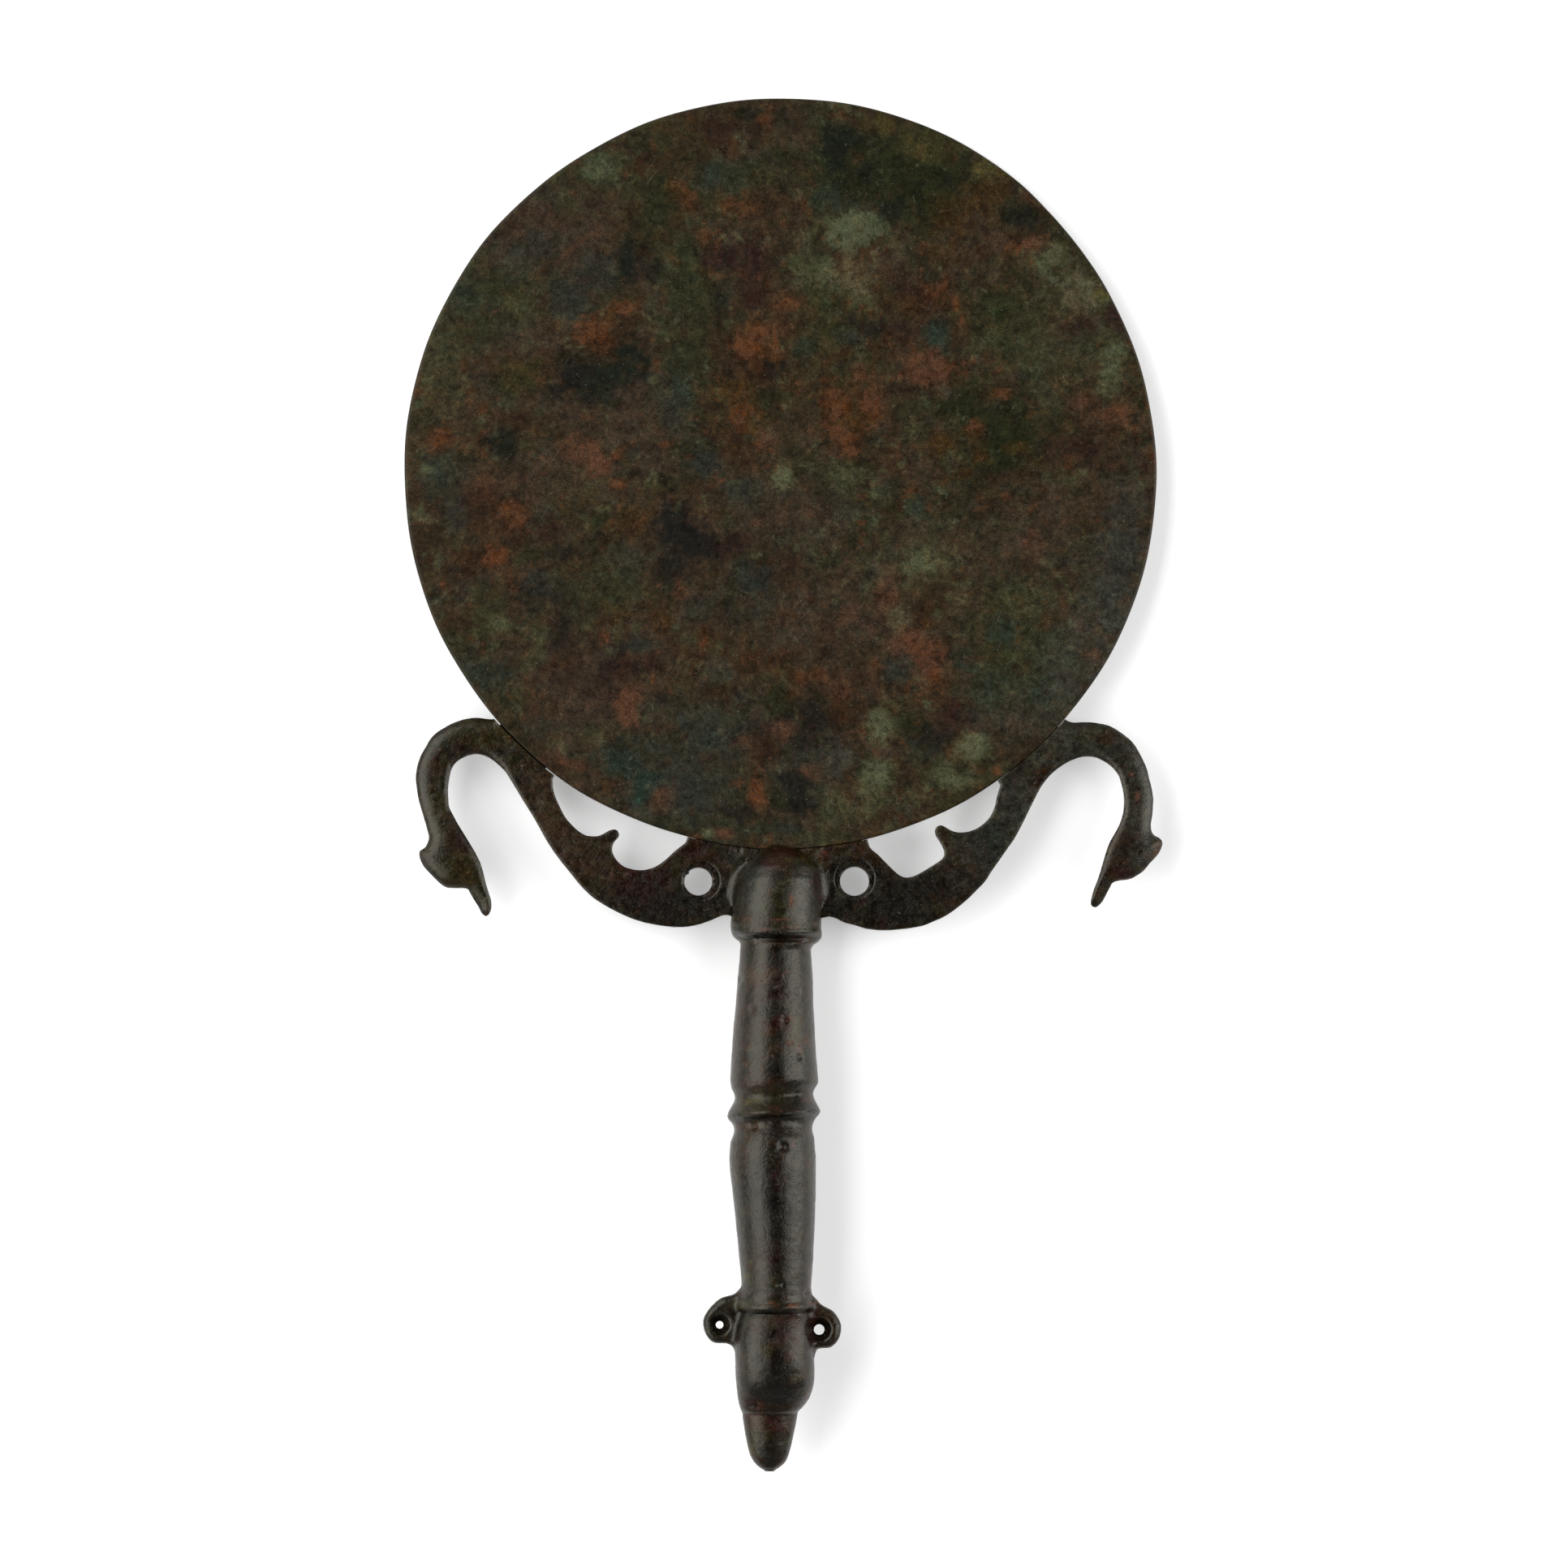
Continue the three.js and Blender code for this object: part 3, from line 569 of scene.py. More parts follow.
def new_mesh(name, verts, faces, tris=None):
    """A mesh from arrays of quads, and of triangles if there are any."""
    me = bpy.data.meshes.new(name)
    sizes = [4] * len(faces) + [3] * (0 if tris is None else len(tris))
    flat = faces.ravel() if tris is None else np.concatenate([faces.ravel(), tris.ravel()])
    me.vertices.add(len(verts))
    me.vertices.foreach_set("co", to_world(verts).astype(np.float32).ravel())
    me.loops.add(len(flat))
    me.loops.foreach_set("vertex_index", flat.astype(np.int32))
    me.polygons.add(len(sizes))
    me.polygons.foreach_set("loop_start", np.concatenate([[0], np.cumsum(sizes)[:-1]]).astype(np.int32))
    me.update(calc_edges=True)
    me.polygons.foreach_set("use_smooth", np.ones(len(sizes), bool))
    return me


def vertex_normals(v, q):
    """Area-weighted normals in the flat frame."""
    n = np.cross(v[q[:, 2]] - v[q[:, 0]], v[q[:, 3]] - v[q[:, 1]])
    out = np.zeros_like(v)
    for c in range(q.shape[1]):
        for k in range(3):
            out[:, k] += np.bincount(q[:, c], n[:, k], len(v))
    return out / np.maximum(np.linalg.norm(out, axis=1), 1e-9)[:, None]


def paint(me, name, values):
    """A colour attribute from rows of three."""
    a = me.color_attributes.new(name, "FLOAT_COLOR", "POINT")
    rgba = np.ones((len(values), 4), np.float32)
    rgba[:, :3] = values
    a.data.foreach_set("color", rgba.ravel())


# ------------------------------------------------------------------ relief of the casting
n_handle = vertex_normals(v_handle, q_handle)
# How open each point is, sampled outward along its normal; further down it darkens the handle's colour as painted shade
# in creases and hollows.
painted_shade_openness = np.zeros(len(v_handle))
for reach, share in ((0.6, 0.35), (1.3, 0.35), (2.6, 0.3)):
    f = casting(*(v_handle + n_handle * reach).T)
    painted_shade_openness += share * np.clip(f / reach, 0, 1)
HANDLE_PITS = [  # x, y, radius, depth of single pits in the metal
    (0.0, -72.3, 0.75, 0.7), (-5.7, -68.3, 0.6, 0.5), (-0.7, -99.7, 0.55, 0.6), (4.7, -101.4, 0.5, 0.5),
    (3.3, -54.5, 0.45, 0.4), (0.3, -47.3, 0.45, 0.4), (2.5, -61.9, 0.5, 0.35), (-8.9, -13.4, 0.75, 0.35),
    (4.6, -12.9, 0.7, 0.45), (6.4, -13.6, 0.6, 0.4), (5.6, -14.9, 0.5, 0.3), (7.4, -12.6, 0.45, 0.3),
    (-68.8, -6.0, 0.5, 0.2), (-8.6, -39.0, 0.7, 0.2), (-6.2, -45.0, 0.9, 0.25), (2.9, -41.5, 0.8, 0.2),
]
push = np.zeros(len(v_handle))
for x, y, r, d in HANDLE_PITS:
    q2 = (v_handle[:, 0] - x) ** 2 + (v_handle[:, 1] - y) ** 2
    push -= np.where(n_handle[:, 2] > 0.2, d * np.exp(-q2 / (r * r)), 0)
ring = np.hypot(v_handle[:, 0] + 8.95, v_handle[:, 1] + 13.35)
push += np.where(n_handle[:, 2] > 0.5, 0.16 * np.exp(-((ring - 1.2) / 0.32) ** 2), 0)
rough = fbm(v_handle, 2.2, 5, 3)
push += 0.05 * fbm(v_handle, 9.0, 3, 2) + 0.035 * rough * (1 + 0.8 * step(-24, -30, v_handle[:, 1]))
wide = step(0.0, 6.0, np.abs(v_handle[:, 0])) * step(-30, -26, v_handle[:, 1])
v_handle = v_handle + n_handle * (push * (1 - 0.4 * wide))[:, None]
v_handle[:, 2] += np.maximum(0.01 - lift(v_handle[:, 1], v_handle[:, 2]), 0)

# ------------------------------------------------------------------ the plate
RINGS = np.concatenate([np.linspace(0, 1, 112) ** 0.97 * 73.9])       # radii of the front face's rings
TURNS = 720
DENTS = [  # x, y, radius, depth of shallow dents in the face
    (-5.5, 85.0, 9.0, 0.05), (-40.0, 97.0, 14.0, -0.04), (38.0, 70.0, 12.0, 0.05), (-30.0, 40.0, 16.0, 0.05),
    (22.0, 26.0, 12.0, -0.05), (52.0, 30.0, 10.0, 0.04), (3.0, 118.0, 10.0, 0.04), (-20.0, 8.0, 10.0, 0.04),
]
PLATE_PITS = [(5.1, -11.6, 0.55, 0.3), (6.9, -11.4, 0.45, 0.25), (-63.0, 37.5, 0.6, 0.15)]


def plate_face(front):
    """Rings of points over one face, out to where its edge starts to turn."""
    radii = RINGS if front else np.linspace(0, 73.9, 26)
    turns = TURNS if front else 240
    a = np.linspace(-math.pi, math.pi, turns, endpoint=False)
    edge = rim(a)
    rows = []
    for r in radii[1:]:
        s = r / 73.9 * (edge - 0.62)
        rows.append(np.stack([DISC_X + s * np.cos(a), DISC_Y + s * np.sin(a), np.full(turns, DISC_T if front else 0.0)], -1))
    return a, rows


def build_plate():
    a, rows = plate_face(True)
    n = len(a)
    edge = rim(a)
    flush = step(-141.5, -139.0, np.degrees(a)) * step(-125.0, -128.0, np.degrees(a))
    flush = flush + step(-105, -103.5, np.degrees(a)) * step(-75, -76.5, np.degrees(a))
    flush = flush + step(-56, -54.5, np.degrees(a)) * step(-39.5, -41, np.degrees(a))
    turn_in = 0.62 - 0.30 * np.clip(flush, 0, 1)
    for t in (12, 34, 58, 90):                        # front arris, rounded
        b = math.radians(t)
        s = edge - turn_in * (1 - math.sin(b))
        rows.append(np.stack([DISC_X + s * np.cos(a), DISC_Y + s * np.sin(a), DISC_T - turn_in * (1 - math.cos(b))], -1))
    for t in (90, 50, 20):                            # back arris
        b = math.radians(t)
        s = edge - 0.5 * (1 - math.sin(b))
        rows.append(np.stack([DISC_X + s * np.cos(a), DISC_Y + s * np.sin(a), np.full(n, 0.5 * (1 - math.cos(b)))], -1))
    centre = np.array([[DISC_X, DISC_Y, DISC_T]])
    v = np.concatenate([centre] + rows)
    k = np.arange(n)
    quads = []
    for i in range(len(rows) - 1):
        p, q = 1 + i * n, 1 + (i + 1) * n
        quads.append(np.stack([p + k, q + k, q + (k + 1) % n, p + (k + 1) % n], -1))
    tris = [np.stack([np.zeros(n, int), 1 + k, 1 + (k + 1) % n], -1)]
    _, back = plate_face(False)                       # back face, three front turns to one of its own
    back = back[::-1]
    m, base = 240, len(v)
    v = np.concatenate([v] + back + [[[DISC_X, DISC_Y, 0.0]]])
    last = 1 + (len(rows) - 1) * n
    j = np.arange(m)
    for s in range(3):
        tris.append(np.stack([last + 3 * j + s, base + j if s < 2 else base + (j + 1) % m, last + (3 * j + s + 1) % n], -1)[:, ::-1]
                    if False else np.stack([last + 3 * j + s, base + (j if s < 2 else (j + 1) % m), last + (3 * j + s + 1) % n], -1))
    tris.append(np.stack([last + 3 * j + 2, base + j, base + (j + 1) % m], -1))
    for i in range(len(back) - 1):
        p, q = base + i * m, base + (i + 1) * m
        quads.append(np.stack([p + j, q + j, q + (j + 1) % m, p + (j + 1) % m], -1))
    p, c = base + (len(back) - 1) * m, len(v) - 1
    tris.append(np.stack([p + j, np.full(m, c), p + (j + 1) % m], -1))
    return v, np.concatenate(quads), np.concatenate(tris)


v_plate, q_plate, t_plate = build_plate()
rp = np.hypot(v_plate[:, 0] - DISC_X, v_plate[:, 1] - DISC_Y)
face = (v_plate[:, 2] > DISC_T - 0.7)
dz = np.zeros(len(v_plate))
for x, y, r, d in DENTS:
    dz -= d * np.exp(-((v_plate[:, 0] - x) ** 2 + (v_plate[:, 1] - y) ** 2) / (r * r))
for x, y, r, d in PLATE_PITS:
    dz -= d * np.exp(-((v_plate[:, 0] - x) ** 2 + (v_plate[:, 1] - y) ** 2) / (r * r))
crust = np.clip(1 - np.abs(rp - 73.6) / 1.0, 0, 1) * step(-104.6, -103.6, np.degrees(np.arctan2(v_plate[:, 1] - DISC_Y, v_plate[:, 0] - DISC_X))) \
    * step(-96.8, -98.0, np.degrees(np.arctan2(v_plate[:, 1] - DISC_Y, v_plate[:, 0] - DISC_X)))
dz += 0.12 * crust * (0.7 + 0.5 * noise(v_plate, 1.2, 71))
dz += 0.03 * fbm(v_plate, 22.0, 61, 3) + 0.012 * fbm(v_plate, 2.4, 67, 3)
v_plate[:, 2] += np.where(face, dz, -0.4 * dz)

# ------------------------------------------------------------------ patina, and painted shade on the handle
# What each mineral looks like from above under the studio light, as screen colours. On the handle the 'dark' tone is
# also laid as painted shade in grooves, bores and on the end's head.
TONES = {
    "base": (57, 46, 34), "hbase": (51, 44, 33), "mauve": (60, 50, 41), "shade": (39, 36, 27), "dark": (23, 19, 14),
    "green": (33, 37, 21), "fern": (44, 48, 31), "sage": (63, 64, 44), "mint": (77, 80, 56), "pale": (82, 77, 56),
    "teal": (38, 48, 40), "dteal": (26, 31, 25), "navy": (30, 29, 26), "blue": (44, 46, 40), "slate": (57, 57, 50),
    "plum": (45, 32, 28), "brown": (52, 36, 25), "orange": (80, 48, 28), "ochre": (61, 44, 24), "salmon": (77, 53, 39),
    "olive": (55, 50, 30), "yellow": (69, 63, 34),
}
GAIN = 1.18                            # light sent back per unit of colour
# Through 'dark', the rows of painted shade on the handle also bring black crust.
LOOSE = {                              # how much of each mineral stands as loose crust: rust, green, black
    "orange": (0.75, 0, 0), "salmon": (0.55, 0, 0), "ochre": (0.35, 0, 0.15), "brown": (0.22, 0, 0.2),
    "mint": (0, 0.75, 0), "sage": (0, 0.5, 0), "pale": (0.1, 0.55, 0), "fern": (0, 0.25, 0.1), "teal": (0, 0.3, 0.2),
    "yellow": (0.2, 0.3, 0), "green": (0, 0.2, 0.3), "dteal": (0, 0.1, 0.55), "dark": (0, 0, 0.7),
    "navy": (0, 0, 0.5), "plum": (0.1, 0, 0.4), "blue": (0, 0.15, 0.25), "shade": (0, 0, 0.4),
}

# Patches: mineral, x, y, half width, half height, strength, turn in degrees. On the handle some 'dark' rows are painted
# shade, marked where they stand.
PLATE_PATCHES = [
    ("fern", -57.4, 96.3, 12.1, 9.7, 0.60), ("fern", -19.4, 91.4, 6.5, 15.4, 0.65),
    ("green", 19.4, 121.8, 17.8, 8.4, 0.80), ("green", 29.9, 119.7, 8.1, 6.8, 0.60),
    ("green", 43.6, 71.2, 9.4, 10.0, 0.75), ("fern", 26.7, 72.0, 3.9, 5.8, 0.50),
    ("fern", 44.5, 91.4, 10.0, 8.9, 0.55), ("sage", 54.1, 84.9, 7.8, 10.0, 0.45),
    ("sage", -67.9, 84.9, 4.2, 14.5, 0.45), ("teal", -67.9, 62.3, 4.8, 5.8, 0.60),
    ("slate", 67.9, 52.6, 5.5, 11.6, 0.60), ("slate", 65.5, 39.7, 6.5, 10.0, 0.65),
    ("slate", 59.0, 24.8, 10.0, 8.1, 0.60), ("slate", 48.5, 15.1, 11.6, 6.5, 0.50),
    ("fern", 45.3, 33.2, 8.4, 10.0, 0.55), ("fern", 42.8, 21.6, 8.4, 7.4, 0.50),
    ("blue", -26.7, 0.9, 8.1, 7.8, 0.60), ("blue", -16.6, 0.6, 8.1, 9.4, 0.60),
    ("blue", -12.1, 11.9, 9.7, 7.4, 0.60), ("blue", 3.2, 2.5, 6.5, 10.7, 0.55),
    ("mauve", -42.8, 112.4, 12.9, 7.3, 0.50), ("mauve", -29.9, 72.0, 12.9, 6.5, 0.45),
    ("mauve", 2.4, 52.6, 11.3, 8.1, 0.50), ("mauve", 47.7, 50.2, 12.9, 9.7, 0.45),
    ("mauve", -39.6, 18.7, 8.1, 9.7, 0.50), ("mauve", 7.3, 31.6, 11.3, 8.1, 0.40),
    ("mauve", -50.9, 60.7, 11.3, 6.5, 0.40), ("fern", -36.4, 39.4, 11.6, 7.4, 0.50),
    ("sage", 26.7, 44.5, 11.3, 7.3, 0.35), ("brown", -17.0, 131.8, 5.8, 3.2, 0.50),
    ("plum", -12.9, 130.2, 3.2, 2.7, 0.75), ("dteal", -6.5, 133.4, 3.9, 1.8, 0.70),
    ("orange", -3.2, 131.8, 2.3, 1.8, 0.55), ("mauve", 1.6, 129.4, 5.2, 4.0, 0.45),
    ("dteal", 10.5, 127.0, 3.2, 4.8, 0.90), ("dteal", 14.5, 128.9, 3.9, 2.3, 0.50),
    ("dteal", 16.6, 122.1, 2.6, 1.9, 0.50), ("yellow", 19.4, 131.7, 3.6, 1.8, 0.85),
    ("olive", 29.9, 127.0, 5.8, 2.9, 0.75), ("yellow", 26.7, 126.0, 2.9, 2.1, 0.40),
    ("yellow", 41.5, 122.4, 4.2, 2.7, 0.65), ("ochre", 40.9, 116.3, 4.5, 4.5, 0.70),
    ("ochre", 34.8, 115.3, 3.9, 4.2, 0.45), ("sage", -34.8, 123.7, 3.6, 2.1, 0.80),
    ("sage", -37.2, 122.4, 4.2, 2.3, 0.60), ("mint", -38.0, 121.8, 1.9, 1.3, 0.50),
    ("brown", -26.7, 122.9, 4.2, 2.6, 0.60), ("brown", -17.8, 125.4, 6.5, 6.5, 0.35),
    ("teal", -12.1, 121.3, 5.5, 3.2, 0.65), ("fern", -6.5, 121.3, 4.8, 3.9, 0.50),
    ("orange", -21.0, 118.4, 2.9, 2.1, 0.60), ("orange", -18.4, 116.1, 1.8, 2.7, 0.50),
    ("green", -24.2, 115.7, 4.5, 5.5, 0.60), ("orange", -9.7, 115.3, 2.9, 2.1, 0.60),
    ("fern", -42.8, 116.0, 2.6, 2.3, 0.50), ("blue", -47.7, 107.6, 4.8, 2.9, 0.65),
    ("salmon", -41.5, 107.2, 3.6, 1.0, 0.70, 40), ("green", -28.3, 109.2, 3.9, 3.9, 0.50),
    ("brown", -31.5, 113.2, 4.2, 2.3, 0.40), ("orange", -15.7, 109.2, 1.9, 1.5, 0.50),
    ("brown", -3.2, 113.7, 5.8, 4.8, 0.50), ("mint", 13.7, 110.6, 6.5, 3.7, 1.00),
    ("mint", 17.0, 112.4, 3.6, 2.3, 0.60), ("sage", 5.7, 102.7, 4.8, 4.5, 0.85),
    ("pale", 13.1, 100.3, 5.5, 4.8, 0.60), ("teal", 8.9, 116.5, 4.8, 2.3, 0.50),
    ("dteal", 21.8, 114.8, 2.9, 1.8, 0.65), ("green", 28.3, 113.2, 4.8, 3.9, 0.55),
    ("sage", 24.2, 108.9, 3.2, 2.9, 0.40), ("ochre", 32.3, 109.2, 3.9, 8.1, 0.45),
    ("brown", 38.0, 107.6, 3.9, 6.5, 0.45), ("dteal", 46.9, 113.4, 3.6, 2.9, 0.75),
    ("salmon", 50.1, 107.6, 2.1, 2.1, 0.85), ("mint", 53.3, 104.3, 3.6, 3.2, 0.60),
    ("sage", 55.0, 99.2, 4.8, 4.8, 0.50), ("pale", 59.8, 97.9, 4.2, 3.7, 0.95),
    ("yellow", 63.5, 97.5, 1.6, 1.6, 0.90), ("plum", 66.9, 93.7, 2.1, 3.9, 0.95),
    ("plum", -9.7, 105.1, 5.5, 2.7, 1.00), ("plum", -5.3, 102.4, 4.2, 2.4, 0.75),
    ("plum", -5.3, 97.5, 2.6, 2.1, 0.85), ("slate", -53.3, 104.7, 4.2, 3.6, 0.55),
    ("blue", -37.2, 102.7, 4.0, 3.6, 0.75), ("dteal", -31.5, 103.5, 2.7, 4.5, 0.90),
    ("navy", -27.5, 102.7, 3.2, 3.9, 0.65), ("fern", -18.6, 104.7, 2.6, 5.5, 0.50),
    ("brown", 26.7, 97.5, 9.1, 4.4, 0.75), ("plum", 23.8, 100.0, 4.2, 2.1, 0.55),
    ("orange", 29.3, 98.7, 2.4, 1.8, 0.45), ("orange", 32.0, 99.7, 1.0, 2.1, 0.65, -35),
    ("orange", 34.3, 96.3, 0.8, 2.3, 0.65, 15), ("orange", 35.9, 92.5, 0.8, 1.9, 0.50, 15),
    ("fern", 42.8, 95.9, 4.2, 2.9, 0.50), ("green", 43.5, 94.6, 1.8, 1.5, 0.60),
    ("teal", -63.8, 97.5, 3.6, 3.2, 0.60), ("sage", -52.5, 94.5, 2.3, 1.8, 0.65),
    ("blue", -42.8, 95.9, 4.8, 5.3, 0.75), ("brown", -32.8, 91.7, 4.8, 5.2, 0.80),
    ("orange", -32.3, 95.6, 2.7, 1.5, 0.65), ("ochre", -34.4, 93.3, 1.9, 1.6, 0.40),
    ("dteal", -12.9, 96.3, 1.9, 3.1, 0.60), ("orange", 1.1, 95.0, 3.6, 2.1, 0.65),
    ("fern", 8.1, 92.7, 4.5, 6.5, 0.45), ("navy", 17.0, 91.4, 4.8, 2.3, 0.75),
    ("blue", 13.4, 88.8, 3.9, 1.5, 0.55), ("plum", 23.4, 89.8, 4.5, 3.2, 0.70),
    ("brown", 21.0, 86.6, 4.2, 3.2, 0.65), ("brown", 29.4, 91.7, 3.6, 5.2, 0.55),
    ("teal", 30.9, 89.0, 2.4, 3.2, 0.85), ("plum", 59.0, 90.8, 5.2, 1.9, 0.65),
    ("sage", 41.5, 87.4, 3.6, 2.3, 0.60), ("mint", 65.8, 83.3, 2.9, 6.8, 0.55),
    ("orange", -38.5, 89.8, 3.2, 3.9, 1.00), ("brown", -34.8, 88.2, 4.8, 2.7, 0.65),
    ("dteal", -30.5, 84.8, 4.4, 4.2, 0.95), ("dteal", -37.2, 81.7, 5.5, 4.4, 0.90),
    ("mauve", -52.5, 87.4, 6.8, 4.5, 0.45), ("olive", 5.7, 88.2, 4.2, 6.5, 0.40),
    ("brown", -12.1, 86.2, 3.2, 5.2, 0.40), ("orange", -5.0, 87.5, 4.4, 3.9, 0.95),
    ("dark", -2.3, 82.7, 2.4, 2.1, 0.85), ("brown", -7.0, 82.4, 4.8, 2.9, 0.65),
    ("orange", -1.3, 86.2, 0.8, 3.6, 0.60), ("teal", 3.4, 86.6, 1.8, 2.6, 0.55),
    ("brown", 11.5, 84.9, 4.2, 2.4, 0.60), ("salmon", 15.4, 82.2, 1.8, 2.3, 0.65),
    ("salmon", 27.6, 83.3, 4.8, 3.2, 0.85), ("salmon", 30.2, 80.7, 3.2, 1.8, 0.65),
    ("navy", -42.0, 80.7, 3.7, 3.2, 0.95), ("navy", -45.1, 77.5, 3.2, 1.9, 0.55),
    ("olive", -53.2, 81.4, 5.2, 3.9, 0.90), ("green", -57.1, 79.1, 3.2, 2.9, 0.45),
    ("dteal", -36.4, 76.9, 5.2, 1.9, 0.60), ("teal", -20.2, 77.7, 2.4, 5.5, 0.60),
    ("blue", -21.8, 72.0, 2.3, 4.2, 0.50), ("ochre", -9.2, 78.2, 4.4, 2.9, 0.80),
    ("green", -3.1, 76.9, 2.9, 2.6, 0.65), ("dark", -13.7, 75.2, 2.1, 1.8, 0.65),
    ("orange", -8.1, 73.3, 3.2, 2.7, 0.80), ("brown", -12.4, 71.4, 3.9, 3.9, 0.60),
    ("ochre", -4.5, 71.0, 2.4, 2.7, 0.65), ("ochre", 13.1, 74.8, 5.8, 5.8, 0.70),
    ("orange", 10.2, 75.2, 3.6, 3.2, 0.60), ("orange", 18.6, 76.1, 2.3, 4.8, 0.75),
    ("orange", 11.2, 70.1, 2.6, 1.9, 0.60), ("orange", 13.1, 67.0, 2.3, 2.1, 0.60),
    ("dark", 23.4, 79.4, 2.4, 1.9, 0.50), ("green", 34.9, 75.2, 4.2, 3.6, 0.75),
    ("orange", 43.6, 77.8, 2.3, 1.3, 0.70), ("salmon", 59.0, 76.2, 2.4, 2.6, 0.65),
    ("salmon", 67.1, 73.1, 3.1, 2.3, 1.00), ("orange", 66.8, 74.0, 1.9, 1.5, 0.60),
    ("salmon", 62.2, 73.0, 4.8, 1.9, 0.45), ("brown", -50.9, 72.0, 5.8, 2.4, 0.60),
    ("dteal", -55.8, 68.0, 3.6, 3.1, 0.85), ("orange", -68.4, 68.0, 2.9, 2.7, 0.70),
    ("salmon", -2.4, 68.0, 2.4, 2.6, 0.55), ("brown", -10.5, 66.8, 4.2, 2.4, 0.50),
    ("ochre", 30.7, 67.8, 3.4, 2.1, 0.80), ("orange", 39.0, 70.4, 2.6, 2.6, 0.70),
    ("orange", 39.8, 65.4, 1.9, 1.5, 0.65), ("green", 45.4, 67.8, 7.4, 5.5, 0.65),
    ("ochre", 47.0, 66.4, 2.4, 1.9, 0.70), ("plum", 54.1, 66.4, 3.6, 2.4, 0.55),
    ("plum", 60.6, 67.2, 3.2, 2.7, 0.85), ("salmon", 66.4, 63.8, 1.9, 1.3, 0.55),
    ("salmon", -40.6, 66.5, 3.9, 2.3, 0.85), ("salmon", -37.2, 63.6, 4.0, 2.7, 1.00),
    ("orange", -32.8, 65.9, 1.9, 1.5, 0.60), ("mint", -71.1, 62.6, 1.5, 1.3, 0.75),
    ("salmon", -59.0, 60.7, 1.8, 2.1, 0.80), ("plum", -63.0, 55.8, 3.6, 2.3, 0.45),
    ("blue", -16.2, 63.9, 3.9, 3.2, 0.85), ("blue", -8.1, 58.1, 4.2, 4.0, 0.70),
    ("mint", 0.0, 60.7, 2.1, 2.1, 0.70), ("sage", 12.1, 62.3, 3.9, 3.1, 0.60),
    ("ochre", 36.4, 62.2, 2.6, 1.3, 0.60), ("brown", 44.5, 60.7, 5.8, 1.5, 0.55),
    ("blue", 20.2, 58.8, 2.3, 1.5, 0.45), ("brown", -59.8, 57.1, 5.8, 3.2, 0.55),
    ("brown", -58.7, 52.3, 4.5, 4.5, 0.45), ("orange", -54.1, 53.9, 2.9, 2.4, 0.70),
    ("blue", -65.5, 53.9, 3.2, 4.8, 0.60), ("pale", -71.9, 52.9, 2.1, 1.8, 0.70),
    ("plum", -45.7, 50.2, 4.8, 2.7, 0.65), ("green", -36.4, 52.5, 2.1, 2.4, 0.70),
    ("orange", -32.3, 59.7, 1.9, 1.1, 0.55), ("ochre", -29.6, 52.6, 3.9, 3.2, 0.70),
    ("ochre", -32.5, 49.1, 3.2, 1.9, 0.55), ("navy", -21.0, 52.3, 4.5, 3.2, 1.00),
    ("navy", -17.8, 48.2, 5.5, 4.0, 1.00), ("plum", -10.2, 47.8, 4.4, 2.6, 0.80),
    ("blue", 12.9, 54.2, 4.2, 1.9, 0.50), ("teal", 26.7, 55.0, 2.1, 2.7, 0.65),
    ("salmon", 49.3, 48.6, 2.4, 1.9, 0.50), ("brown", -61.4, 44.5, 4.2, 3.2, 0.85),
    ("orange", -57.2, 45.7, 2.4, 3.1, 0.90), ("green", -49.3, 46.1, 3.6, 2.6, 0.65),
    ("navy", -44.1, 45.2, 3.2, 1.8, 0.65), ("navy", -21.8, 43.4, 3.6, 2.7, 0.75),
    ("blue", -31.5, 44.5, 3.2, 3.6, 0.45), ("blue", -6.3, 41.0, 4.8, 4.4, 0.75),
    ("mint", 26.7, 43.6, 4.8, 2.3, 0.70), ("blue", 66.4, 44.5, 4.8, 4.5, 0.55),
    ("blue", -48.5, 39.4, 4.4, 3.6, 0.80), ("navy", -50.9, 35.5, 3.2, 3.6, 0.60),
    ("fern", -59.0, 33.9, 4.5, 4.8, 0.55), ("mint", -57.1, 32.2, 2.3, 1.6, 0.45),
    ("brown", -66.1, 32.2, 3.9, 3.2, 0.55), ("blue", -17.0, 34.5, 4.2, 3.2, 0.65),
    ("salmon", -20.5, 37.7, 1.9, 1.1, 0.55), ("navy", -10.2, 32.9, 4.8, 2.9, 0.45),
    ("blue", -4.0, 35.6, 3.2, 2.7, 0.45), ("salmon", 20.5, 37.3, 2.4, 5.8, 0.60),
    ("pale", 22.8, 32.4, 2.4, 2.9, 0.45), ("sage", 49.3, 37.3, 4.8, 3.2, 0.55),
    ("slate", 63.8, 35.5, 5.5, 4.5, 0.55), ("navy", -44.5, 31.9, 2.7, 5.8, 0.70),
    ("ochre", -33.9, 33.7, 2.9, 2.1, 0.45), ("ochre", -24.2, 31.6, 2.3, 3.1, 0.75),
    ("blue", -29.9, 27.6, 5.2, 1.8, 0.75), ("salmon", 13.1, 34.0, 2.1, 2.1, 0.50),
    ("salmon", 25.1, 27.7, 4.5, 2.4, 0.90), ("orange", 28.4, 25.8, 2.9, 2.4, 0.80),
    ("teal", 43.0, 30.6, 3.6, 3.6, 0.60), ("brown", -44.5, 24.2, 3.2, 2.4, 0.65),
    ("plum", -33.1, 23.5, 4.2, 2.7, 0.80), ("plum", -37.2, 20.9, 2.6, 1.5, 0.55),
    ("plum", -26.7, 23.7, 2.3, 1.8, 0.65), ("sage", -50.1, 26.4, 2.4, 3.6, 0.60),
    ("brown", -5.7, 24.3, 6.8, 2.4, 0.65), ("slate", -12.9, 22.5, 3.6, 2.9, 0.40),
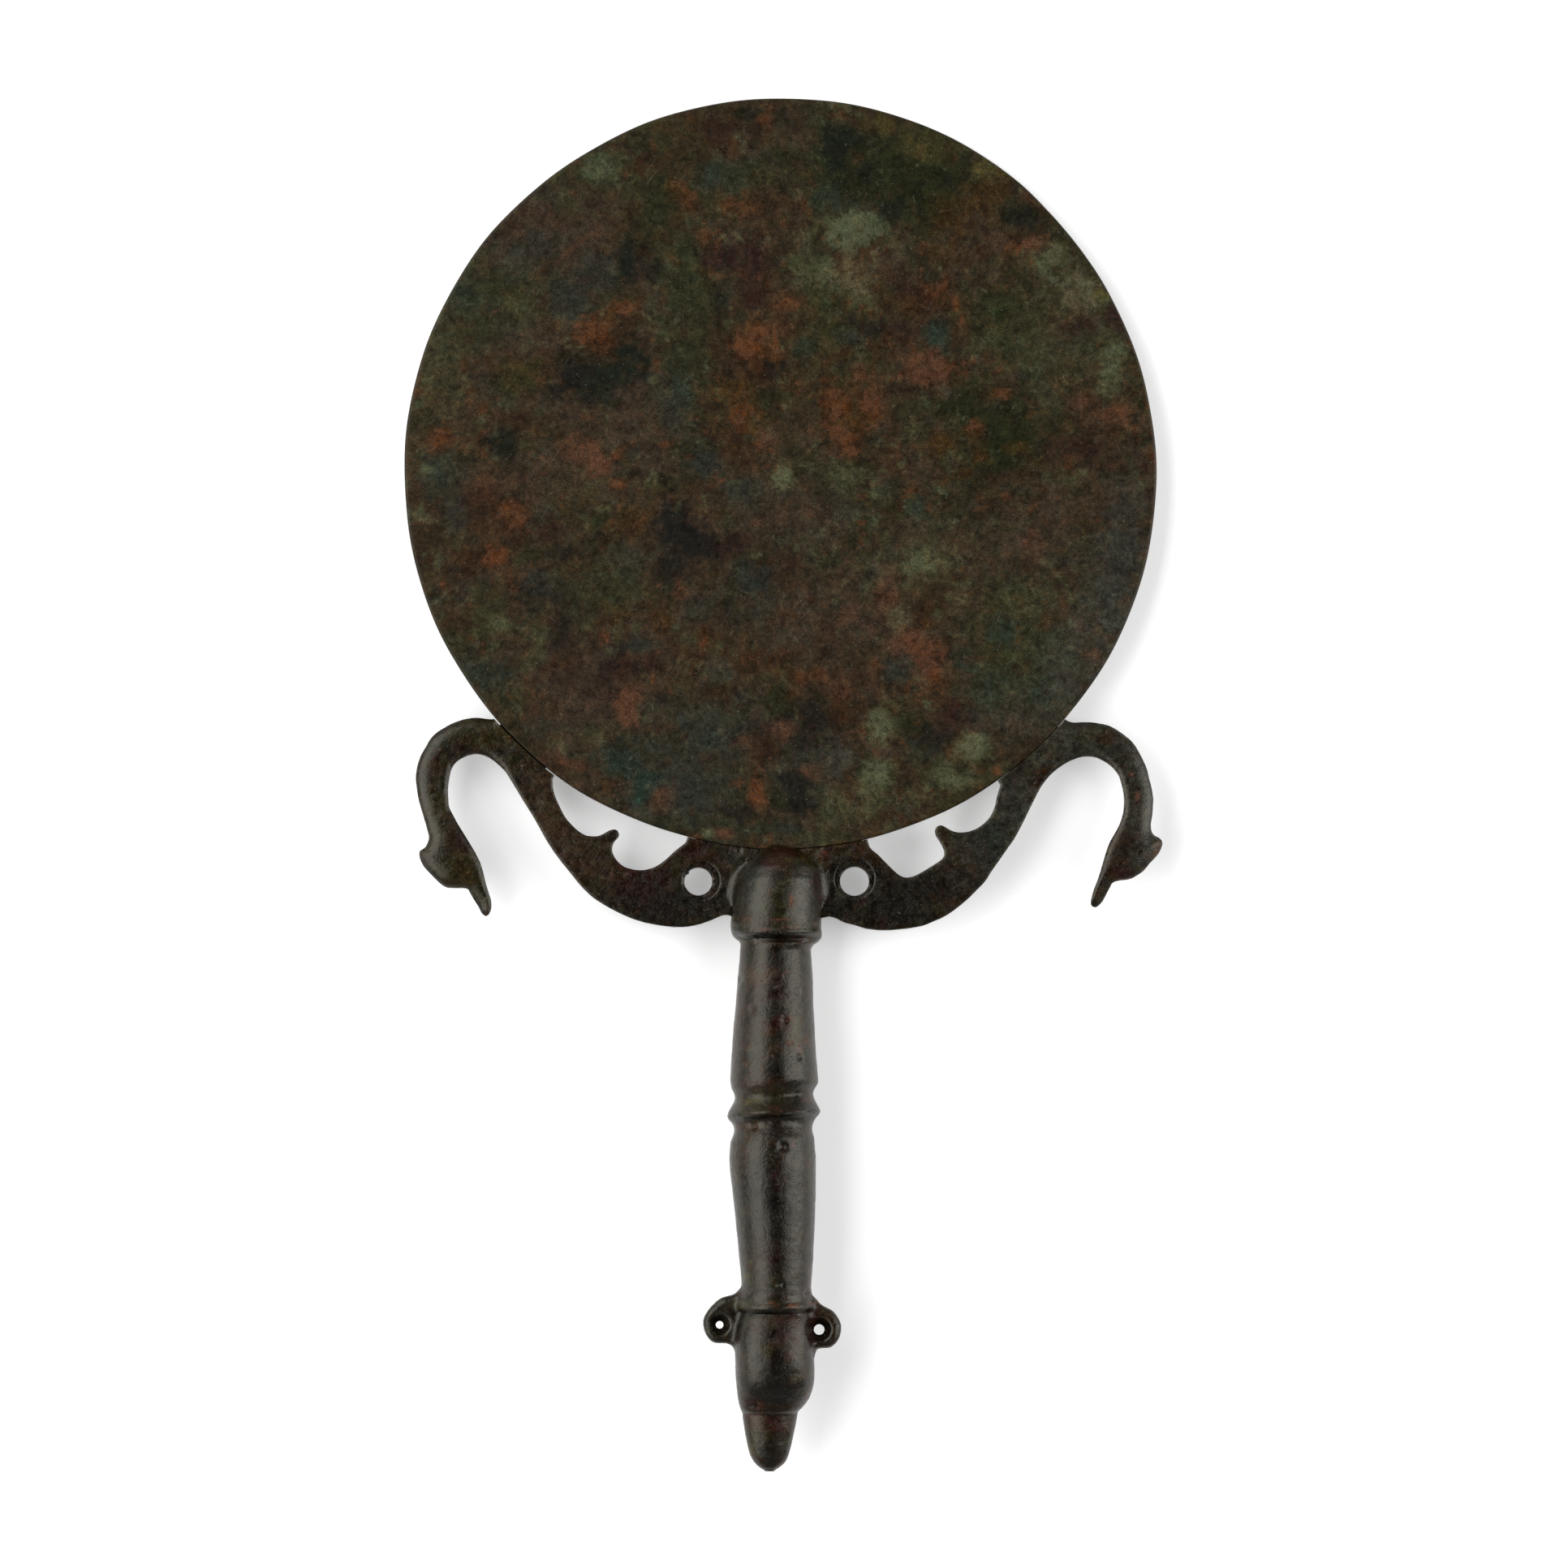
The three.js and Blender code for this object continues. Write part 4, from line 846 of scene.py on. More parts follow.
    ("orange", 4.8, 20.6, 3.9, 1.5, 0.65), ("salmon", 9.9, 18.7, 2.7, 3.1, 0.60),
    ("blue", 22.6, 22.7, 3.2, 2.7, 0.75), ("salmon", 28.4, 23.2, 2.7, 4.5, 0.80),
    ("orange", 29.9, 20.9, 1.6, 1.5, 0.55), ("teal", 35.1, 25.1, 2.7, 2.9, 0.55),
    ("salmon", 38.0, 24.8, 2.9, 1.1, 0.40), ("teal", 39.9, 18.7, 4.5, 2.9, 0.45),
    ("teal", -59.0, 21.9, 4.4, 3.9, 0.60), ("blue", -47.7, 11.4, 4.5, 1.8, 0.55),
    ("salmon", -30.7, 15.4, 2.7, 4.4, 0.95), ("navy", -23.4, 17.1, 2.9, 2.4, 0.55),
    ("brown", -12.8, 17.9, 3.6, 1.8, 0.80), ("green", -0.5, 16.7, 2.9, 4.0, 0.75),
    ("plum", -1.6, 11.2, 3.6, 2.4, 0.75), ("salmon", 0.2, 10.3, 3.1, 2.6, 0.65),
    ("navy", 5.7, 12.2, 3.4, 4.8, 0.80), ("brown", 10.8, 13.7, 2.4, 3.9, 0.75),
    ("mint", 19.4, 11.9, 3.1, 3.9, 0.90), ("green", 25.1, 12.2, 4.5, 3.1, 0.70),
    ("navy", 29.9, 9.6, 4.2, 2.9, 0.75), ("plum", 32.5, 13.8, 2.7, 3.2, 0.80),
    ("blue", 38.3, 14.5, 4.2, 2.4, 0.45), ("teal", 50.1, 17.7, 2.4, 2.1, 0.55),
    ("salmon", -7.3, 8.2, 2.9, 1.5, 0.60), ("brown", -3.2, 6.4, 3.6, 2.4, 0.65),
    ("teal", -33.1, 4.8, 4.8, 3.2, 0.85), ("sage", -37.2, 9.6, 3.6, 2.3, 0.45),
    ("salmon", -42.0, 3.6, 4.4, 1.1, 0.85, -14), ("brown", -13.7, 4.8, 2.3, 2.1, 0.40),
    ("slate", 10.5, 5.7, 3.1, 3.7, 0.80), ("sage", 17.8, 0.9, 4.2, 4.2, 0.95),
    ("mint", 17.9, 2.5, 2.6, 2.6, 0.50), ("teal", 28.3, 5.7, 3.2, 2.7, 0.55),
    ("mint", 38.0, 7.4, 3.6, 2.9, 0.85), ("sage", 33.1, 1.7, 5.5, 2.7, 0.95),
    ("mint", 33.9, 0.1, 4.2, 1.3, 0.50), ("navy", 2.4, -0.1, 3.2, 2.4, 0.80),
    ("salmon", 5.7, 2.5, 2.3, 1.8, 0.55), ("teal", -27.5, -0.1, 3.9, 4.0, 1.00),
    ("salmon", -23.4, -3.3, 2.3, 2.9, 0.80), ("blue", -18.6, -3.3, 4.8, 3.9, 0.60),
    ("orange", -5.2, -1.7, 1.9, 3.9, 1.00), ("green", -1.3, -3.3, 2.6, 2.4, 0.75),
    ("navy", 4.0, -4.0, 3.9, 2.7, 0.80), ("navy", -8.9, -5.7, 4.4, 2.1, 0.85),
    ("sage", 10.5, -5.6, 3.6, 4.4, 0.65), ("sage", 20.2, -4.0, 8.1, 2.1, 0.55),
    ("teal", -2.4, -8.8, 6.8, 1.5, 0.55), ("salmon", -12.8, -10.4, 2.9, 1.0, 1.00),
    ("orange", -17.3, -10.6, 1.9, 0.6, 0.80), ("mint", -15.4, -10.3, 1.5, 0.8, 1.00),
    ("fern", 8.9, -10.4, 8.1, 1.5, 0.50),
]
HANDLE_PATCHES = [
    ("mauve", -44.5, -7.2, 9.7, 15.4, 0.60), ("olive", -59.0, 10.6, 6.8, 3.2, 0.55),
    ("olive", -67.9, -5.6, 4.0, 5.7, 0.45), ("olive", -64.7, -18.2, 4.8, 4.5, 0.60),
    ("plum", -64.2, -9.1, 2.6, 4.2, 0.75), ("green", -65.5, 0.1, 2.3, 2.3, 0.40),
    ("shade", -21.0, -23.7, 12.1, 8.1, 0.75), ("shade", 19.4, -23.7, 12.9, 7.3, 0.65),
    ("slate", 43.6, -8.8, 10.0, 13.7, 0.80), ("slate", 59.0, 8.2, 10.5, 5.2, 0.70),
    ("slate", 72.3, -2.3, 5.2, 13.7, 0.70), ("green", 33.9, -19.3, 7.3, 4.0, 0.45),
    ("green", 21.0, -26.3, 7.3, 2.3, 0.50), ("fern", 61.4, 9.0, 3.6, 1.6, 0.50),
    ("ochre", 63.8, 9.3, 2.6, 1.3, 0.55), ("brown", -28.3, -19.3, 6.5, 4.2, 0.50),
    ("brown", -42.8, -1.5, 4.2, 3.2, 0.35), ("brown", -18.6, -13.7, 5.5, 2.3, 0.60),
    ("navy", -35.6, -22.5, 6.5, 2.6, 0.40), ("navy", 40.4, -11.2, 3.2, 4.0, 0.55),
    ("salmon", 75.2, -12.7, 1.3, 2.1, 0.85, -30), ("brown", 67.7, -18.8, 3.6, 1.8, 0.90),
    ("plum", 68.4, -12.0, 2.3, 2.3, 0.55), ("olive", 65.5, -21.7, 1.9, 3.2, 0.55),
    ("orange", 69.3, 2.0, 0.6, 0.5, 0.90), ("orange", 70.5, -2.5, 0.5, 1.1, 0.80),
    ("slate", -6.0, -20.9, 2.7, 6.8, 0.60), ("slate", 4.0, -21.7, 2.6, 6.5, 0.45),
    ("brown", -1.1, -16.2, 3.6, 1.9, 0.80), ("olive", 3.2, -15.4, 3.6, 1.9, 0.85),
    ("green", -2.1, -20.4, 2.3, 1.9, 0.65), ("green", 3.2, -16.9, 2.9, 1.3, 0.50),
    ("brown", 1.1, -13.7, 3.6, 1.1, 0.70), ("orange", 1.8, -23.8, 0.5, 1.3, 1.00),
    ("orange", -0.5, -27.3, 1.8, 0.3, 0.90), ("orange", -3.6, -29.5, 1.1, 0.5, 0.95),
    ("salmon", -7.0, -26.8, 1.1, 0.6, 0.60), ("salmon", 1.6, -29.0, 2.3, 0.6, 0.45),
    ("brown", 8.1, -21.7, 1.6, 4.8, 0.50), ("navy", 9.9, -19.3, 1.9, 3.6, 0.60),
    ("navy", 11.0, -24.7, 2.3, 2.3, 0.60), ("slate", -9.7, -15.3, 2.3, 3.6, 0.60),
    # the 'dark' row at y -30.5 is painted shadow in the groove under the socket's lip
    ("dark", -2.3, -30.5, 6.8, 0.7, 0.95), ("brown", -3.2, -31.9, 3.6, 0.6, 0.50),
    ("navy", -1.5, -34.7, 2.3, 2.4, 0.85), ("ochre", -2.4, -37.3, 1.5, 1.1, 0.40),
    ("plum", -2.1, -39.5, 1.6, 1.9, 0.90), ("salmon", -4.8, -38.4, 1.9, 1.5, 0.60),
    ("brown", -1.3, -41.5, 1.8, 1.9, 0.85), ("navy", -3.2, -44.4, 2.1, 2.4, 0.80),
    ("green", 0.0, -45.8, 1.8, 1.6, 0.75), ("brown", -2.1, -48.1, 2.6, 1.5, 0.80),
    ("dark", -1.1, -51.2, 2.1, 1.5, 0.70), ("orange", 1.3, -51.8, 1.0, 0.6, 0.90),
    ("orange", 3.1, -53.3, 0.8, 1.0, 0.85), ("orange", 4.5, -51.3, 0.5, 0.8, 0.60),
    ("brown", -7.6, -46.8, 1.6, 2.3, 0.35), ("slate", 2.4, -54.1, 2.9, 2.3, 0.50),
    ("shade", -1.6, -56.5, 3.9, 3.2, 0.60), ("navy", -1.1, -57.3, 2.3, 1.6, 0.60),
    # the 'dark' row at y -60.2 is painted shade on the ring's lower slope
    ("brown", -5.3, -60.2, 6.1, 1.0, 0.90), ("dark", 3.2, -60.2, 3.6, 1.0, 0.80),
    ("olive", -2.4, -61.2, 6.5, 1.0, 0.50), ("olive", -4.0, -63.8, 6.5, 1.5, 0.75),
    ("yellow", -6.5, -63.4, 2.3, 0.8, 0.50), ("brown", -1.6, -64.7, 2.9, 1.0, 0.55),
    ("dark", 5.7, -64.7, 2.3, 0.6, 0.90), ("orange", 4.8, -63.3, 1.5, 0.5, 0.50),
    # the 'dark' row at y -66.7 is painted shade under the ridge
    ("dark", -1.6, -66.7, 8.4, 0.5, 0.90), ("ochre", -4.0, -68.0, 4.2, 1.0, 0.70),
    # the 'shade' row at y -83.2 and the 'dark' row at -86.4 run down the lower grip's middle: partly darker metal,
    # partly painted dark reflection where the grip's top faces the dark overhead
    ("brown", -2.1, -69.9, 2.6, 1.0, 0.70), ("shade", -1.6, -83.2, 5.5, 17.8, 0.75),
    ("dark", -1.6, -86.4, 2.7, 12.9, 0.60), ("green", -4.8, -78.3, 2.9, 6.5, 0.40),
    ("brown", -0.8, -78.6, 1.6, 2.6, 0.50), ("brown", -2.4, -93.7, 3.6, 3.2, 0.50),
    ("sage", -7.6, -98.5, 1.9, 1.3, 0.60), ("green", 4.0, -73.5, 2.3, 2.3, 0.40),
    # the 'dark' row at y -99.7 is painted shade in the neck before the bead
    ("plum", -3.2, -101.3, 7.1, 1.1, 0.60), ("dark", 0.5, -99.7, 2.3, 0.8, 0.90),
    ("brown", 1.6, -102.2, 3.9, 0.6, 0.80), ("sage", -8.1, -103.5, 2.6, 0.8, 0.75),
    ("yellow", -9.9, -103.2, 0.5, 0.5, 0.90), ("orange", 1.8, -103.9, 1.1, 0.4, 1.00),
    ("orange", 5.8, -103.4, 1.3, 0.5, 0.90), ("orange", -2.4, -103.4, 1.0, 0.4, 0.70),
    # the 'dark' row at y -105.3 is painted shade in the crease between the bead and the end's head
    ("dark", -2.4, -105.3, 7.8, 0.7, 0.95), ("brown", 3.2, -109.0, 3.9, 3.6, 0.75),
    # the 'dark' rows at x -12.9 and x 7.9 are painted shade in the lugs' bores
    ("shade", -4.8, -109.0, 3.9, 2.6, 0.50), ("dark", -12.9, -107.7, 1.9, 2.3, 0.80),
    ("dark", 7.9, -108.5, 2.3, 2.3, 0.65), ("brown", 6.1, -107.4, 1.1, 2.9, 0.60),
    # the 'dark' rows at y -117.1 and -121.3 are painted shade and dark reflection on the end's head, where it turns
    # down towards the muzzle
    ("slate", -5.7, -114.7, 2.3, 3.9, 0.55), ("dark", -1.6, -117.1, 3.9, 4.8, 0.80),
    ("dark", -1.6, -121.3, 5.8, 2.9, 1.00), ("olive", -3.4, -112.7, 1.1, 1.3, 0.60),
    ("salmon", 1.1, -113.9, 1.0, 1.0, 0.40), ("brown", -6.5, -123.3, 2.6, 1.1, 0.70),
    ("ochre", -4.5, -123.7, 0.8, 0.8, 0.80), ("brown", -0.8, -125.2, 3.9, 0.6, 0.60),
    ("ochre", -6.0, -127.5, 2.1, 2.6, 0.85), ("olive", -6.3, -131.0, 1.6, 1.9, 0.85),
    ("yellow", -6.6, -132.6, 1.1, 1.0, 0.60), ("brown", -1.6, -127.1, 3.6, 1.6, 0.75),
    ("mauve", 1.1, -127.6, 1.9, 1.9, 0.50), ("sage", 1.1, -130.7, 1.9, 1.1, 0.70),
    ("shade", -1.1, -132.5, 2.6, 2.6, 0.50), ("dark", -2.7, -134.9, 1.5, 1.9, 0.85),
]
BACK_PATCHES = [
    ("green", -30.0, 92.0, 22.0, 15.0, 0.6), ("fern", 25.0, 100.0, 18.0, 14.0, 0.6), ("mauve", 10.0, 60.0, 30.0, 20.0, 0.5),
    ("brown", -38.0, 50.0, 16.0, 18.0, 0.6), ("sage", 40.0, 62.0, 14.0, 18.0, 0.5), ("navy", 0.0, 34.0, 18.0, 12.0, 0.6),
    ("teal", 30.0, 24.0, 16.0, 12.0, 0.6), ("orange", -12.0, 80.0, 6.0, 5.0, 0.7), ("ochre", 52.0, 84.0, 8.0, 6.0, 0.6),
    ("plum", -55.0, 78.0, 8.0, 10.0, 0.6), ("mint", -20.0, 14.0, 9.0, 6.0, 0.6), ("salmon", 14.0, 108.0, 6.0, 4.0, 0.6),
    ("olive", -8.0, 118.0, 18.0, 8.0, 0.6), ("slate", 62.0, 46.0, 8.0, 14.0, 0.6),
]

# Thin veils spread by noise all over: mineral, blob size, where it starts and is full, strength.
PLATE_VEILS = [
    ("fern", 18.0, -0.06, 0.35, 0.55), ("mauve", 13.0, 0.02, 0.35, 0.50), ("green", 8.0, 0.06, 0.36, 0.45),
    ("brown", 7.0, 0.04, 0.34, 0.50), ("sage", 5.5, 0.10, 0.42, 0.42), ("shade", 4.0, 0.08, 0.36, 0.50),
    ("slate", 6.0, 0.14, 0.42, 0.35), ("ochre", 3.2, 0.16, 0.42, 0.40), ("orange", 2.6, 0.27, 0.48, 0.50),
    ("mint", 2.6, 0.28, 0.50, 0.45), ("navy", 2.8, 0.24, 0.46, 0.50),
]
HANDLE_VEILS = [
    ("olive", 9.0, 0.0, 0.35, 0.55), ("plum", 7.0, 0.06, 0.36, 0.50), ("green", 6.0, 0.05, 0.36, 0.50),
    ("brown", 4.0, 0.06, 0.36, 0.55), ("slate", 5.0, 0.10, 0.40, 0.40), ("shade", 3.0, 0.05, 0.36, 0.60),
    ("fern", 2.6, 0.12, 0.42, 0.50), ("sage", 1.9, 0.22, 0.50, 0.50), ("dark", 1.9, 0.20, 0.46, 0.60),
    ("orange", 1.8, 0.33, 0.52, 0.60), ("ochre", 1.7, 0.22, 0.48, 0.45),
]


def tone(name, gloss):
    """Surface colour behind a screen colour, once the sheen's share is taken off."""
    c = np.array(TONES[name]) / 255.0
    lin = np.where(c < 0.04045, c / 12.92, ((c + 0.055) / 1.055) ** 2.4)
    return np.maximum((lin - gloss * np.array([1.0, 0.96, 0.85])) / GAIN, 0.0006)


def patina(p, veils, patches, seed, base, gloss):
    """Colour and loose crust at each point: veils first, then patches with ragged edges."""
    col = np.tile(tone(base, gloss), (len(p), 1))
    loose = np.zeros((len(p), 3))

    def lay(name, i, m):
        m = m[:, None]
        col[i] = col[i] * (1 - m) + tone(name, gloss) * m
        loose[i] = loose[i] * (1 - m) + np.array(LOOSE.get(name, (0, 0, 0))) * m

    every = np.arange(len(p))
    for k, (name, size, lo, hi, s) in enumerate(veils):
        lay(name, every, s * step(lo, hi, fbm(p, size, seed + 40 + 7 * k, 5, 0.70)))
    wx = 1.6 * fbm(p, 7.0, seed + 1, 2) + 1.2 * fbm(p, 2.6, seed + 2, 3)
    wy = 1.6 * fbm(p, 7.0, seed + 3, 2) + 1.2 * fbm(p, 2.6, seed + 4, 3)
    rag = fbm(p, 5.0, seed + 5, 5, 0.78)
    fine = fbm(p, 1.8, seed + 6, 3, 0.8)
    for row in patches:
        name, x, y, rx, ry, s = row[:6]
        t = math.radians(row[6]) if len(row) > 6 else 0.0
        least = min(rx, ry)
        small = min(1.0, least / 2.2)
        near = (np.abs(p[:, 0] - x) < 1.9 * max(rx, ry) + 3) & (np.abs(p[:, 1] - y) < 1.9 * max(rx, ry) + 3)
        i = np.nonzero(near)[0]
        dx, dy = p[i, 0] - x + wx[i] * small, p[i, 1] - y + wy[i] * small
        u, v = dx * math.cos(t) + dy * math.sin(t), -dx * math.sin(t) + dy * math.cos(t)
        d = np.sqrt((u / rx) ** 2 + (v / ry) ** 2) + 0.55 * small * rag[i]
        m = 1.10 * (1 - step(0.25, 1.45, d)) + (0.9 * rag[i] + 0.8 * fine[i]) * (0.35 + 0.65 * small)
        lay(name, i, s * np.clip(m, 0, 1) * step(1.75, 1.2, d))
    return col, loose


def mottle(col, p, seed, depth=1.0):
    """Lightness and hue drift at several scales."""
    light = 0.15 * fbm(p, 9.0, seed + 11, 2) + 0.34 * fbm(p, 3.2, seed + 12, 3, 0.8) + 0.26 * fbm(p, 1.3, seed + 13, 2)
    hue = 0.16 * fbm(p, 6.0, seed + 14, 3, 0.7) + 0.12 * fbm(p, 1.6, seed + 15, 2)
    out = col * (1 + depth * light)[:, None]
    out[:, 0] *= 1 + depth * hue
    out[:, 1] *= 1 - 0.4 * depth * hue
    out[:, 2] *= 1 - 0.8 * depth * hue
    return np.clip(out, 0.0004, 1)


top_side = step(-0.35, 0.35, n_handle[:, 2])[:, None]
front = patina(v_handle, HANDLE_VEILS, HANDLE_PATCHES, 200, "hbase", 0.0195)
behind = patina(v_handle, HANDLE_VEILS, [], 260, "hbase", 0.0195)
h_col, h_loose = (a * top_side + b * (1 - top_side) for a, b in zip(front, behind))
h_col = mottle(h_col, v_handle, 220, 1.1)
arris = np.clip(1 + casting(*(v_handle - n_handle * 0.8).T) / 0.8, 0, 1)      # how sharp an edge is
# Painted shade: the handle's colour is darkened where the casting closes round a point (creases, grooves, hollows);
# sharp edges are made lighter as wear.
h_col *= ((0.25 + 0.75 * step(0.25, 0.95, painted_shade_openness)) * (1 + 0.55 * step(0.15, 0.7, arris)))[:, None]
p_col, p_loose = patina(v_plate, PLATE_VEILS, PLATE_PATCHES, 300, "base", 0.0095)
under = np.nonzero(v_plate[:, 2] < 0.3)[0]
p_col[under], p_loose[under] = patina(v_plate[under], PLATE_VEILS, BACK_PATCHES, 340, "base", 0.0095)
p_col = mottle(p_col, v_plate, 320)

handle_mesh = new_mesh("handle_casting", v_handle, q_handle)
plate_mesh = new_mesh("mirror_plate", v_plate, q_plate, t_plate)
for me, ang in ((handle_mesh, 38), (plate_mesh, 50)):
    me.set_sharp_from_angle(angle=math.radians(ang))
# On the handle, 'patina' and 'crust' also carry painted shade: the darkening where the casting closes round, and the
# 'dark' rows in its grooves, bores and on the end's head.
paint(handle_mesh, "patina", h_col)
paint(handle_mesh, "crust", h_loose)
paint(plate_mesh, "patina", p_col)
paint(plate_mesh, "crust", p_loose)


def bronze(name, grain, relief, rough, sheen, contrast):
    """Old bronze: a mineral film with fine grain, broken crusts, specks, pin-holes and scratches."""
    m = bpy.data.materials.new(name)
    m.use_nodes = True
    t = m.node_tree
    n, l = t.nodes, t.links
    b = n["Principled BSDF"]
    b.inputs["Metallic"].default_value = 0.0
    b.inputs["Specular IOR Level"].default_value = sheen
    b.inputs["Specular Tint"].default_value = (1.0, 0.97, 0.84, 1)
    place = n.new("ShaderNodeTexCoord").outputs["Object"]

    def attribute(which):
        a = n.new("ShaderNodeVertexColor")
        a.layer_name = which
        return a.outputs["Color"]

    def tex(size_mm, detail, roughness, distortion=0.0, shift=0.0, stretch=None):
        k = n.new("ShaderNodeTexNoise")
        k.inputs["Scale"].default_value = 1000.0 / size_mm
        k.inputs["Detail"].default_value = detail
        k.inputs["Roughness"].default_value = roughness
        k.inputs["Distortion"].default_value = distortion
        mp = n.new("ShaderNodeMapping")
        mp.vector_type = "TEXTURE"
        mp.inputs["Location"].default_value = (shift, shift * 0.7, -shift)
        if stretch:
            mp.inputs["Rotation"].default_value = (0, 0, math.radians(stretch[0]))
            mp.inputs["Scale"].default_value = (stretch[1], 1.0, 1.0)
        l.new(place, mp.inputs["Vector"])
        l.new(mp.outputs["Vector"], k.inputs["Vector"])
        return k.outputs["Fac"]

    def ramp(value, lo, hi, out_lo, out_hi, smooth=False):
        r = n.new("ShaderNodeMapRange")
        r.interpolation_type = "SMOOTHSTEP" if smooth else "LINEAR"
        r.inputs["From Min"].default_value, r.inputs["From Max"].default_value = lo, hi
        r.inputs["To Min"].default_value, r.inputs["To Max"].default_value = out_lo, out_hi
        l.new(value, r.inputs["Value"])
        return r.outputs["Result"]

    def math2(kind, a, c):
        x = n.new("ShaderNodeMath")
        x.operation = kind
        for value, sock in ((a, x.inputs[0]), (c, x.inputs[1])):
            if isinstance(value, bpy.types.NodeSocket):
                l.new(value, sock)
            else:
                sock.default_value = value
        return x.outputs["Value"]

    def mix(kind, fac, a, c):
        x = n.new("ShaderNodeMix")
        x.data_type, x.blend_type = "RGBA", kind
        for value, sock in ((fac, x.inputs["Factor"]), (a, x.inputs[6]), (c, x.inputs[7])):
            if isinstance(value, bpy.types.NodeSocket):
                l.new(value, sock)
            else:
                sock.default_value = value
        return x.outputs[2]

    def times(c, value):
        k = n.new("ShaderNodeVectorMath")
        k.operation = "SCALE"
        l.new(c, k.inputs["Vector"])
        l.new(value, k.inputs["Scale"])
        return k.outputs["Vector"]

    loose = n.new("ShaderNodeSeparateColor")
    l.new(attribute("crust"), loose.inputs["Color"])
    mid = tex(2.4 * grain, 6, 0.66, 0.5)
    small = tex(0.9 * grain, 4, 0.65, 0.3, 0.11)
    tiny = tex(0.30, 1.5, 0.6, 0.0, 0.23)
    c = attribute("patina")
    k = contrast
    c = times(c, ramp(mid, 0.30, 0.70, 1 - 0.46 * k, 1 + 0.46 * k))
    c = times(c, ramp(small, 0.30, 0.70, 1 - 0.40 * k, 1 + 0.40 * k))
    # crusts: where the broken noise and the painted amount together pass a threshold
    rust = ramp(math2("ADD", tex(2.0 * grain, 7, 0.68, 0.9, 0.31), math2("MULTIPLY", loose.outputs[0], 0.30)), 0.645, 0.735, 0.0, 1.0, True)
    verd = ramp(math2("ADD", tex(1.7 * grain, 7, 0.70, 0.9, 0.47), math2("MULTIPLY", loose.outputs[1], 0.30)), 0.645, 0.735, 0.0, 1.0, True)
    # black crust; on the handle it also gathers on the rows of painted shade, deepening them
    soot_and_shade = ramp(math2("ADD", tex(2.3 * grain, 7, 0.70, 0.6, 0.59), math2("MULTIPLY", loose.outputs[2], 0.30)), 0.640, 0.730, 0.0, 1.0, True)
    c = mix("MIX", math2("MULTIPLY", soot_and_shade, 0.62), c, (0.0050, 0.0042, 0.0028, 1))
    c = mix("MIX", math2("MULTIPLY", rust, 0.50), c, (0.082, 0.030, 0.0105, 1))
    c = mix("MIX", math2("MULTIPLY", verd, 0.46), c, (0.066, 0.067, 0.036, 1))
    c = times(c, ramp(tiny, 0.30, 0.70, 1 - 0.42 * k, 1 + 0.46 * k))
    speck = ramp(tex(0.40, 1, 0.5, 0.0, 0.67), 0.715, 0.79, 0.0, 0.60, True)
    c = mix("MIX", speck, c, (0.120, 0.112, 0.085, 1))
    hole = ramp(tex(0.75, 2, 0.5, 0.0, 0.73), 0.305, 0.25, 0.0, 0.80, True)
    c = mix("MIX", hole, c, (0.0028, 0.0024, 0.0018, 1))
    hair = math2("MULTIPLY", ramp(tex(0.22, 0, 0.5, 0.0, 0.83, (57, 60.0)), 0.74, 0.80, 0.0, 1.0),
                 ramp(tex(9.0, 2, 0.5, 0.0, 0.91), 0.50, 0.66, 0.0, 0.28, True))
    c = mix("MIX", hair, c, (0.085, 0.080, 0.058, 1))
    l.new(c, b.inputs["Base Color"])
    r = math2("ADD", ramp(mid, 0.3, 0.7, rough - 0.07, rough + 0.07), ramp(small, 0.3, 0.7, -0.07, 0.07))
    r = math2("ADD", r, math2("MULTIPLY", math2("ADD", rust, verd), 0.14))
    l.new(r, b.inputs["Roughness"])
    h = math2("ADD", ramp(small, 0.2, 0.8, 0.0, 0.7), ramp(mid, 0.2, 0.8, 0.0, 1.3))
    h = math2("ADD", h, ramp(tiny, 0.2, 0.8, 0.0, 0.30))
    h = math2("ADD", h, math2("MULTIPLY", math2("ADD", rust, verd), 0.35))
    h = math2("SUBTRACT", h, hole)
    bump = n.new("ShaderNodeBump")
    bump.inputs["Strength"].default_value = 1.0
    bump.inputs["Distance"].default_value = relief * 0.001
    l.new(h, bump.inputs["Height"])
    l.new(bump.outputs["Normal"], b.inputs["Normal"])
    return m


handle = bpy.data.objects.new("handle_casting", handle_mesh)
plate = bpy.data.objects.new("mirror_plate", plate_mesh)
handle_mesh.materials.append(bronze("cast_bronze_patina", 1.0, 0.07, 0.26, 0.38, 1.2))
plate_mesh.materials.append(bronze("plate_bronze_patina", 1.0, 0.04, 0.42, 0.18, 1.05))
for o in (handle, plate):
    bpy.context.scene.collection.objects.link(o)

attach(handle, "root")
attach(plate, "root")
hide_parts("handle")
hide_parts("mirror_disc")

# ------------------------------------------------------------------ floor, light, camera
scene = bpy.context.scene
scene.view_settings.view_transform = "Standard"
scene.view_settings.look = "None"
scene.view_settings.exposure = 0.0
scene.view_settings.gamma = 1.0


def plain(name, color, rough, glow=0.0):
    m = bpy.data.materials.new(name)
    m.use_nodes = True
    b = m.node_tree.nodes["Principled BSDF"]
    b.inputs["Base Color"].default_value = (*color, 1)
    b.inputs["Roughness"].default_value = rough
    b.inputs["Specular IOR Level"].default_value = 0.0
    b.inputs["Emission Color"].default_value = (1, 1, 1, 1)
    b.inputs["Emission Strength"].default_value = glow   # the floor is a light table
    return m


